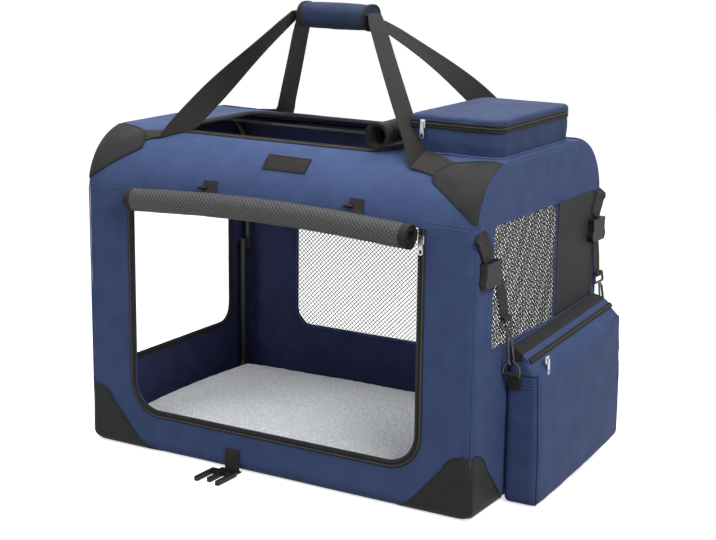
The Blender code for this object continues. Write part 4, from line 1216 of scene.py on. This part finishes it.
def pillow(half_y, half_z, count=44):
    """The rounded-square section of the grip."""
    points = []
    for angle in np.linspace(0, 2 * math.pi, count, endpoint=False):
        c, s = math.cos(angle), math.sin(angle)
        points.append((math.copysign(abs(c) ** 0.82, c) * half_y, math.copysign(abs(s) ** 0.82, s) * half_z))
    return points


def handle():
    """Four straps and a padded grip of cloth, bound at its ends and closed by a flap at the back."""
    for place, side_x, side_y in roof_corners:
        strap("webbing_strap_" + place, side_x, side_y)
    length, half_y, half_z = 0.124, 0.0255, 0.0205
    rows = []
    for share in [-0.5, -0.495, -0.485, -0.46, *np.linspace(-0.43, 0.43, 26), 0.46, 0.485, 0.495, 0.5]:
        x = grip_x + share * length
        end = abs(share) * 2
        swell = 0.90 + 0.10 * (1 - max(end - 0.75, 0) / 0.25) ** 0.5 if end < 1 else 0.80
        swell += 0.018 * math.cos(share * 2 * math.pi)
        row = []
        for y, z in pillow(half_y * swell, half_z * swell):
            push = 1 + 0.030 * ripple((x, y * 1.5, z * 1.5), 0.028, 21) * (end < 0.95)
            row.append((x, y * push, grip_z + z * push))
        rows.append(row)
    near, far = ([(row[0][0] + inset, 0.0, grip_z)] * len(row)
                 for row, inset in ((rows[0], 0.002), (rows[-1], -0.002)))
    # The grip's cloth is the darker navy that paints its shade
    grip = closed_shell("padded_grip", [near] + rows + [far], shaded_grip_navy, 60.0, 0.00002)
    wear(grip, "grip", ("handle_grip",))
    for word, side in (("left", -1), ("right", 1)):
        x = grip_x + side * (length / 2 - 0.0022)
        ring = [(x, y, grip_z + z) for y, z in pillow(0.0242, 0.0194)]
        sew("grip_binding_" + word, ring, flat_section(0.0075, 0.0030, 0.0003), (1, 0, 0), tape,
            "grip", closed=True)
    path = [(x, 0.0262, 0.6965) for x in np.linspace(grip_x - 0.055, grip_x + 0.055, 30)]
    sew("grip_flap_edge", path, flat_section(0.006, 0.0016), (0, 0, 1), tape, "grip")


def loop_line(low, high, radius, grow, count):
    """A rectangle with round corners as a closed line of evenly spaced points."""
    line = [(a, b, 0.0) for a, b in rounded(low, high, radius, grow, 8)]
    points = np.array(line + line[:1])
    travel = travelled(points)
    marks = np.linspace(0, travel[-1], count, endpoint=False)
    return [(np.interp(m, travel, points[:, 0]), np.interp(m, travel, points[:, 1]), m) for m in marks]


box_low, box_high = (0.186, -0.126), (0.336, 0.115)
box_middle = (np.array(box_low) + np.array(box_high)) / 2
box_round = 0.014
box_floor, box_foot, box_rim, lid_seam, lid_top = 0.5228, 0.5208, 0.5615, 0.5706, 0.5764


def tub_ring(z, grow, gather, count=200):
    """A ring round the box, with the gathers of cloth sewn to a shorter zip."""
    points = []
    for x, y, run in loop_line(box_low, box_high, box_round, grow, count):
        out = np.array([x, y]) - box_middle
        out = out / np.linalg.norm(out)
        fold = gather * (0.6 * math.sin(run / 0.0075 * 2 * math.pi) +
                         0.8 * ripple((run, z, 0.0), 0.012, 31))
        fold += 0.0016 * ripple((run, z * 1.5, 5.0), 0.035, 32)
        points.append((x + out[0] * fold, y + out[1] * fold, z))
    return points


def middle_ring(z, share, count=200):
    """A ring drawn in towards the middle of the box."""
    return [(*(box_middle + (np.array([x, y]) - box_middle) * share), z)
            for x, y, _ in loop_line(box_low, box_high, box_round, -0.003, count)]


def storage_box():
    """A stuffed box sewn to the roof: gathered sides, a zip round three sides and a crowned lid."""
    rows = [middle_ring(box_floor, share) for share in (0.0, 0.5, 1.0)]
    rows += [tub_ring(z, -0.0030, 0.0003) for z in np.linspace(0.526, 0.560, 8)]
    rows.append(tub_ring(box_rim + 0.0003, -0.0020, 0.0002))
    for share in np.linspace(0.0, 1.0, 16):
        z = box_rim - share * (box_rim - box_foot)
        bulge = 0.0022 * math.sin(math.pi * share) - 0.0008
        rows.append(tub_ring(z, bulge, 0.0013 * (1 - share) ** 1.2))
    rows += [middle_ring(box_foot - 0.0002, share) for share in (0.99, 0.5, 0.0)]
    # The box's sides, lid and lid piping all take the darker navy that paints the shade on its sides
    tub = closed_shell("box_sides", rows, shaded_box_navy)
    wear(tub, "roof", ("storage_tub",))
    rows = [middle_ring(0.5690, 0.0), middle_ring(0.5690, 0.5), middle_ring(0.5680, 0.97)]
    for angle in np.linspace(-50, 90, 9):
        a = math.radians(angle)
        rows.append(tub_ring(lid_seam + 0.0058 * math.sin(a), -0.0052 + 0.0066 * math.cos(a), 0.0001))
    for share in (0.93, 0.86, 0.76, 0.64, 0.5, 0.36, 0.22, 0.1, 0.0):
        ring = []
        for x, y, z in middle_ring(0.0, share):
            crown = 0.0026 * (1 - share ** 2) + 0.0012 * ripple((x, y, 0), 0.05, 33)
            ring.append((x, y, lid_top + crown))
        rows.append(ring)
    lid = closed_shell("box_lid_cloth", rows, shaded_box_navy)
    wear(lid, "box_lid", ("storage_lid",))
    proud = 0.0006
    turn_x = box_high[0] - box_round
    path = [(box_low[0] + 0.004, box_low[1] - proud)]
    path += arc((turn_x, box_low[1] + box_round), box_round + proud, -90, 0, 8)
    path += arc((turn_x, box_high[1] - box_round), box_round + proud, 0, 90, 8)
    path += [(box_low[0] + 0.004, box_high[1] + proud)]
    for name, z, width, thick, look, body in (
            ("box_zip_band_low", 0.5592, 0.0056, 0.0026, tape, "roof"),
            ("box_zip_teeth", 0.5634, 0.0036, 0.0040, coil, "roof"),
            ("box_zip_band_high", 0.5672, 0.0046, 0.0026, tape, "box_lid")):
        line = spaced([(x, y, z) for x, y in path], 0.004)
        sew(name, line, flat_section(width, thick, 0.0003), (0, 0, 1), look, body)
    for name, z, grow, radius, look, body in (
            ("box_lid_piping", 0.5686, 0.0008, 0.0013, shaded_box_navy, "box_lid"),
            ("box_foot_seam", 0.5212, 0.0006, 0.0010, navy_thread, "roof")):
        path = [(x, y, z) for x, y, _ in loop_line(box_low, box_high, box_round, grow, 160)]
        sew(name, path, round_section(radius, 6), (0, 0, 1), look, body, closed=True)


# Bag on the right end

bag_inner, bag_outer = 0.3518, 0.4005
bag_low_y, bag_high_y = -0.115, 0.198
bag_foot, bag_edge, bag_rim = 0.0020, 0.2035, 0.2235
# The bag leans: its outer side climbs by this much for each metre towards the back
bag_rise = 0.088


def bag_ring_points(z, share_out, grow=0.0, count=176):
    """A ring of the bag at height z: flat against the wall, fuller on its outer face."""
    points = []
    corner = 0.0085
    for x, y, run in loop_line((bag_inner, bag_low_y), (bag_outer, bag_high_y), corner, grow, count):
        out = (x - bag_inner) / (bag_outer - bag_inner)
        along = (y - bag_low_y) / (bag_high_y - bag_low_y)
        belly = math.sin(math.pi * min(max(along, 0), 1)) ** 0.6
        sag = share_out * out * (0.0045 * belly + 0.0065)
        wrinkle = 0.0011 * ripple((run, z, 0.0), 0.045, 41) + 0.0006 * ripple((run, z, 0.0), 0.018, 42)
        x = x + (sag + wrinkle * out)
        lift = bag_rise * max(y - bag_low_y, 0.0) * out
        points.append((x, y + (wrinkle if 0.05 < out < 0.95 else 0.0), z + lift))
    return points


def side_bag():
    """A boxy bag with piped upright edges and a painted shadow line along its top seam; it sags a little and
    is open under its lid. Returns its rim.
    """
    def centre_ring(z, share):
        flat = np.array(bag_ring_points(z, 0.4))
        middle = np.mean(flat, axis=0)
        return middle + (flat - middle) * share

    inside = [centre_ring(bag_foot + up, share) for up, share in ((0.003, 0.0), (0.003, 0.6),
                                                                  (0.004, 0.93))]
    inside += [bag_ring_points(z, 1.0, -0.0028) for z in np.linspace(bag_foot + 0.010, bag_edge, 10)]
    turn = 0.009
    outside = []
    for z in np.linspace(bag_edge, bag_foot + turn, 26):
        share = (bag_edge - z) / (bag_edge - bag_foot)
        outside.append(bag_ring_points(z, 0.25 + 0.75 * math.sin(share * math.pi * 0.62)))
    for a in np.radians(np.linspace(20, 90, 6)):
        outside.append(bag_ring_points(bag_foot + turn * (1 - math.sin(a)), 0.93,
                                       -0.008 * (1 - math.cos(a))))
    slope = []
    for share in np.linspace(0.0, 1.0, 6):
        ring = []
        for x, y, z in bag_ring_points(bag_edge + (bag_rim - bag_edge) * share, 0.25):
            out = (x - bag_inner) / (bag_outer - bag_inner)
            ring.append((x - 0.0150 * share * max(out, 0.0) ** 1.5, y,
                         z - bag_rise * max(y - bag_low_y, 0.0) * out * share * 0.2))
        slope.append(ring)
    rows = inside + slope[::-1] + outside[1:] + [centre_ring(bag_foot, share) for share in (0.6, 0.0)]
    wear(closed_shell("bag_cloth", rows, navy), "bag", ("bag_body",))
    # Painted shadow: a thin dark cord along the top edge stands in for the shadow line of the puckered top
    # seam
    cord = [(x + 0.0006, y, z) for x, y, z in slope[0] if x > bag_inner + 0.006]
    start = max(range(len(cord)), key=lambda i: math.dist(cord[i], cord[i - 1]))
    sew("bag_top_seam_shadow", spaced(cord[start:] + cord[:start], 0.004), round_section(0.0009, 6),
        (0, 0, 1), tape, "bag")
    middle_y = 0.04
    for word, side in (("front", -1), ("back", 1)):
        path = []
        for ring in outside:
            corner = max((point for point in ring if (point[1] - middle_y) * side >= 0),
                         key=lambda point: point[0] + abs(point[1] - middle_y) * 0.8)
            path.append((corner[0] + 0.0003, corner[1], corner[2]))
        sew("bag_edge_piping_" + word, spaced(path, 0.005), round_section(0.0008, 6), (1, 0, 0), tape,
            "bag")
    for row, z in (("low", 0.1860), ("high", 0.1905)):
        line = [(x, bag_low_y - 0.0009, z) for x in np.linspace(bag_inner + 0.006, bag_outer - 0.006, 30)]
        sew_row("bag_side_stitches_" + row, line, (0, -1, 0), navy_thread, "bag", "navy_cloth",
                gauge=0.0038)
    return slope[-1]


def bag_cover(rim):
    """The sloping lid of the bag: navy at the zip, then a charcoal band, up to the wall."""
    outer_x = max(point[0] for point in rim)
    back = bag_inner + 0.0034
    low, climb, crown = bag_rim + 0.0011, 0.0205, 0.0030
    inset = 0.003

    def lid_point(share, y):
        """A point of the lid, share from the zip to the wall."""
        x = outer_x - 0.0006 + (back - outer_x) * share
        height = low + climb * share ** 0.85 + crown * math.sin(math.pi * share)
        rise = bag_rise * (0.8 - 0.2 * share) * (y - bag_low_y)
        wave = 0.0012 * ripple((x, y, 0.0), 0.05, 44) + 0.0005 * ripple((x, y, 0.0), 0.015, 45)
        return [x, y, height + rise + wave]

    rows = []
    for share in np.linspace(0.0, 1.0, 17):
        row = [lid_point(share, y) for y in np.linspace(bag_low_y + inset, bag_high_y - inset, 58)]
        drop = (climb * share ** 0.85 + 0.0045) * 0.9
        front, behind = ([[x, y + side * 0.0020, z - drop * part] for part in (0.15, 0.5, 1.0)]
                         for side, (x, y, z) in ((-1, row[0]), (1, row[-1])))
        rows.append(front[::-1] + row + behind)
    lid = cut_cloth("bag_lid_cloth", rows, [navy, charcoal], (0.36, 0.04, 0.0), 0.0018, -1.0)
    for polygon in lid.data.polygons:
        share = (outer_x - polygon.center.x) / (outer_x - back)
        polygon.material_index = 1 if 0.34 < share < 0.93 else 0
    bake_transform(lid)
    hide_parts("bag_lid")
    path = [(outer_x + 0.0002, y, low + 0.0008 + bag_rise * 0.8 * (y - bag_low_y))
            for y in np.linspace(bag_low_y + 0.004, bag_high_y - 0.004, 70)]
    for name, width, thick, look in (("bag_zip_line", 0.0085, 0.0016, tape),
                                     ("bag_zip_teeth", 0.0036, 0.0034, coil)):
        sew(name, path, flat_section(width, thick, 0.0003), (-0.7, 0.0, 0.7), look, "bag_cover")


def strip(name, path, width, body, replaced=(), fold=None, across=(0, 1, 0)):
    """A length of webbing, 2 mm thick."""
    sew(name, spaced(path, 0.003), flat_section(width, 0.0020), across, webbing, body,
        fold, replaced=replaced)


def hung_webbing():
    """Webbing at the right end: the hangers of the bag, the loops at its rings, the buckle tabs."""
    wall_x, hook_x = 0.3515, 0.3666
    hanger_bar, bar_turn = (0.3551, 0.290), 0.0036
    ring_z, ring_turn = 0.206, 0.0032
    for word, side, edge, ring_y, lean, tab_y in (
            ("front", -1, bag_low_y, -0.130, -0.018, -0.188),
            ("back", 1, bag_high_y, 0.213, -0.010, 0.192)):
        path = [(wall_x, ring_y + lean, 0.346), (wall_x, ring_y + lean * 0.3, 0.318),
                (wall_x, ring_y, 0.296)]
        path += [(x, ring_y, z) for x, z in arc(hanger_bar, bar_turn, -180, 120, 15)]
        strip("hanger_webbing_" + word, path, 0.025, "base", ("hanger_" + word,), "wall")
        loop = [(edge + side * 0.001, 0.190), (edge + side * 0.006, 0.2015)]
        loop += arc((ring_y, ring_z), ring_turn, 90 - side * 110, 90 + side * 110, 11)
        loop += [(edge + side * 0.007, 0.1975), (edge + side * 0.002, 0.182)]
        strip("bag_loop_" + word, [(hook_x, y, z) for y, z in loop], 0.022, "bag", across=(1, 0, 0))
        for turn, out, replaced in (("", 0.0, ("buckle_tab_" + word,)), ("turn_", 0.0022, ())):
            path = [(x + out, tab_y + side * run, z) for x, run, z in (
                (0.3475, 0.0275, 0.4290), (0.3508, 0.0210, 0.4215), (0.3516, 0.0120, 0.4080),
                (0.3516, 0.0, 0.3880))]
            strip("buckle_webbing_" + turn + word, path, 0.032, "roof", replaced, "roof")
    path = [(-0.068, -half_depth - 0.0013, z) for z in (0.036, 0.0022)]
    strip("front_strap_webbing", path, 0.028, "base", ("front_strap",), "wall", across=(1, 0, 0))


def fleece_pad():
    """A loose pad of fleece: crowned, with drawn-in sides and a tufted face."""
    half_x, half_y = 0.319, 0.174
    low, seam, rise = 0.0212, 0.0380, 0.0175
    columns, rows = 150, 84

    def spread(index, count):
        """Places from -1 to 1 that lie closer together towards both ends."""
        place = -1 + 2 * index / (count - 1)
        return math.copysign(1 - (1 - abs(place)) ** 1.25, place)

    def pad_point(u, v, face):
        x = u * math.sqrt(1 - 0.06 * v * v) * half_x
        y = v * math.sqrt(1 - 0.12 * u * u) * half_y
        edge = max(abs(u), abs(v))
        height = (1 - edge ** 7) ** 0.5 if edge < 1 else 0.0
        if face < 0:
            return x, y, seam - (seam - low) * height ** 0.6
        crown = rise * height * (0.88 + 0.12 * math.cos(u * 1.4) * math.cos(v * 1.4))
        tuft = 0.0016 * ripple((x, y, 0.0), 0.016, 51) + 0.0011 * ripple((x, y, 0.0), 0.007, 52)
        return x, y, seam + crown + tuft * (0.3 + 0.7 * height) * min(1, height * 2)

    faces = [[[pad_point(spread(i, columns), spread(j, rows), face) for i in range(columns)]
              for j in range(rows)] for face in (1, -1)]
    top = lattice("fleece_cushion", faces[0], fleece)
    under = lattice("fleece_cushion_under", faces[1], fleece, flip=True)
    with reshaping(top.data) as shape:
        shape.from_mesh(under.data)
        bmesh.ops.remove_doubles(shape, verts=shape.verts, dist=0.0001)
        bmesh.ops.recalc_face_normals(shape, faces=shape.faces)
    bpy.data.objects.remove(under, do_unlink=True)
    smooth(top, 60)
    wear(top, "base", ("floor_pad",))
    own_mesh(top)


def bevel_hardware():
    """Rounds the sharp edges of the cast and moulded parts."""
    for names, width in ((("door_zip_slider", "door_zip_pull", "box_zip_slider", "box_zip_pull",
                           "bag_zip_slider", "bag_zip_pull"), 0.0004),
                         (("female_buckle_front", "female_buckle_back", "male_buckle"), 0.0014)):
        for name in names:
            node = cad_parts[name]
            edge = node.modifiers.new("edge", "BEVEL")
            edge.width = width
            edge.segments = 3
            edge.limit_method = "ANGLE"
            edge.angle_limit = math.radians(40)


# Camera, light and floor

def look_from(azimuth, elevation, roll, place, lens):
    """The photograph's camera, with angles in degrees."""
    a, e, turn = (math.radians(value) for value in (azimuth, elevation, roll))
    ahead = Vector((-math.sin(a) * math.cos(e), math.cos(a) * math.cos(e), -math.sin(e)))
    right = Vector((math.cos(a), math.sin(a), 0.0))
    up = right.cross(ahead)
    tilted_right = right * math.cos(turn) + up * math.sin(turn)
    tilted_up = up * math.cos(turn) - right * math.sin(turn)
    camera = linked("camera", bpy.data.cameras.new("camera"))
    camera.data.lens = lens
    camera.data.sensor_width = 36.0
    camera.data.clip_end = 100.0
    camera.matrix_world = Matrix((
        (tilted_right.x, tilted_up.x, -ahead.x, place[0]),
        (tilted_right.y, tilted_up.y, -ahead.y, place[1]),
        (tilted_right.z, tilted_up.z, -ahead.z, place[2]), (0, 0, 0, 1)))
    bpy.context.scene.camera = camera


def soft_lamp(name, place, aim, size, power):
    """A square lamp turned to a point."""
    lamp = bpy.data.lights.new(name, "AREA")
    lamp.shape = "SQUARE"
    lamp.size = size
    lamp.energy = power
    obj = linked(name, lamp)
    obj.location = place
    obj.rotation_euler = (Vector(aim) - Vector(place)).to_track_quat("-Z", "Y").to_euler()


def seen_rays(tree):
    """1 for the rays that show a surface, straight or by reflection, and 0 for those that light."""
    path = put(tree, "LightPath").outputs
    both = put(tree, "Math", {0: path["Is Camera Ray"], 1: path["Is Glossy Ray"]},
               operation="MAXIMUM")
    return put(tree, "Math", {0: both.outputs[0], 1: path["Is Transmission Ray"]},
               operation="MAXIMUM").outputs[0]


def studio():
    """A white world, a pale floor and three lamps."""
    scene = bpy.context.scene
    scene.view_settings.view_transform = "Standard"
    world = bpy.data.worlds.new("studio")
    scene.world = world
    world.use_nodes = True
    tree = world.node_tree
    back = tree.nodes["Background"]
    level = put(tree, "MapRange", {"Value": seen_rays(tree), "To Min": 0.36, "To Max": 1.0})
    back.inputs["Color"].default_value = (1, 1, 1, 1)
    tree.links.new(level.outputs[0], back.inputs["Strength"])
    reach = 30
    mesh = plain_mesh("studio_floor", [(-reach, -reach, 0), (reach, -reach, 0), (reach, reach, 0),
                                       (-reach, reach, 0)], [(0, 1, 2, 3)])
    floor = linked("studio_floor", mesh)
    pale, tree, shader = new_finish("pale_floor", "#F4F4F4", 0.9, 0.1)
    seen = seen_rays(tree)
    glow = put(tree, "MapRange", {"Value": seen, "To Min": 0.0, "To Max": 0.66})
    bounce = put(tree, "Mix", {0: seen, 6: hex_colour("#6C6C6C"), 7: hex_colour("#F4F4F4")},
                 data_type="RGBA")
    tree.links.new(bounce.outputs[2], shader.inputs["Base Color"])
    shader.inputs["Emission Color"].default_value = (1, 1, 1, 1)
    tree.links.new(glow.outputs[0], shader.inputs["Emission Strength"])
    mesh.materials.append(pale)
    floor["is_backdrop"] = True
    soft_lamp("key", (2.0, -1.2, 1.9), (0, 0, 0.45), 1.3, 44)
    soft_lamp("fill", (-1.2, -1.8, 1.7), (0, 0, 0.45), 1.2, 12)
    soft_lamp("top", (-0.1, 0.0, 1.9), (0, 0, 0.5), 1.3, 22)


look_from(30.7108, 13.1128, 0.7186, (1.34012, -2.21138, 0.89350), 81.979)
studio()

sewn_walls()
corner_welts()
floor_sheet()
front_door_edge()
window_edges()
window_net("right")
window_net("back")
plain_panel()
roof_sheet()
roof_edge()
roof_seams()
shoulder_patches()
foot_patches()
front_roll()
roof_roll()
label()
handle()
storage_box()
bag_cover(side_bag())
hung_webbing()
fleece_pad()
bevel_hardware()

for node_names, finish in (
        (("base_rail_front", "base_rail_back", "top_rail_front", "top_rail_back", "left_hoop",
          "right_hoop", "left_lower_frame", "right_lower_frame"), powder_coat),
        (("door_zip_slider", "door_zip_pull", "box_zip_slider", "box_zip_pull", "bag_zip_slider",
          "bag_zip_pull"), zinc),
        (("bag_ring_front", "bag_ring_back", "bag_hook_front", "bag_hook_back"), gunmetal),
        (("female_buckle_front", "female_buckle_back", "male_buckle"), acetal)):
    for node_name in node_names:
        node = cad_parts[node_name]
        node.data.materials.clear()
        node.data.materials.append(finish)
        for polygon in node.data.polygons:
            polygon.material_index = 0

[[list(map(float, corner)) for corner in box] for box in (cad_box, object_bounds())]
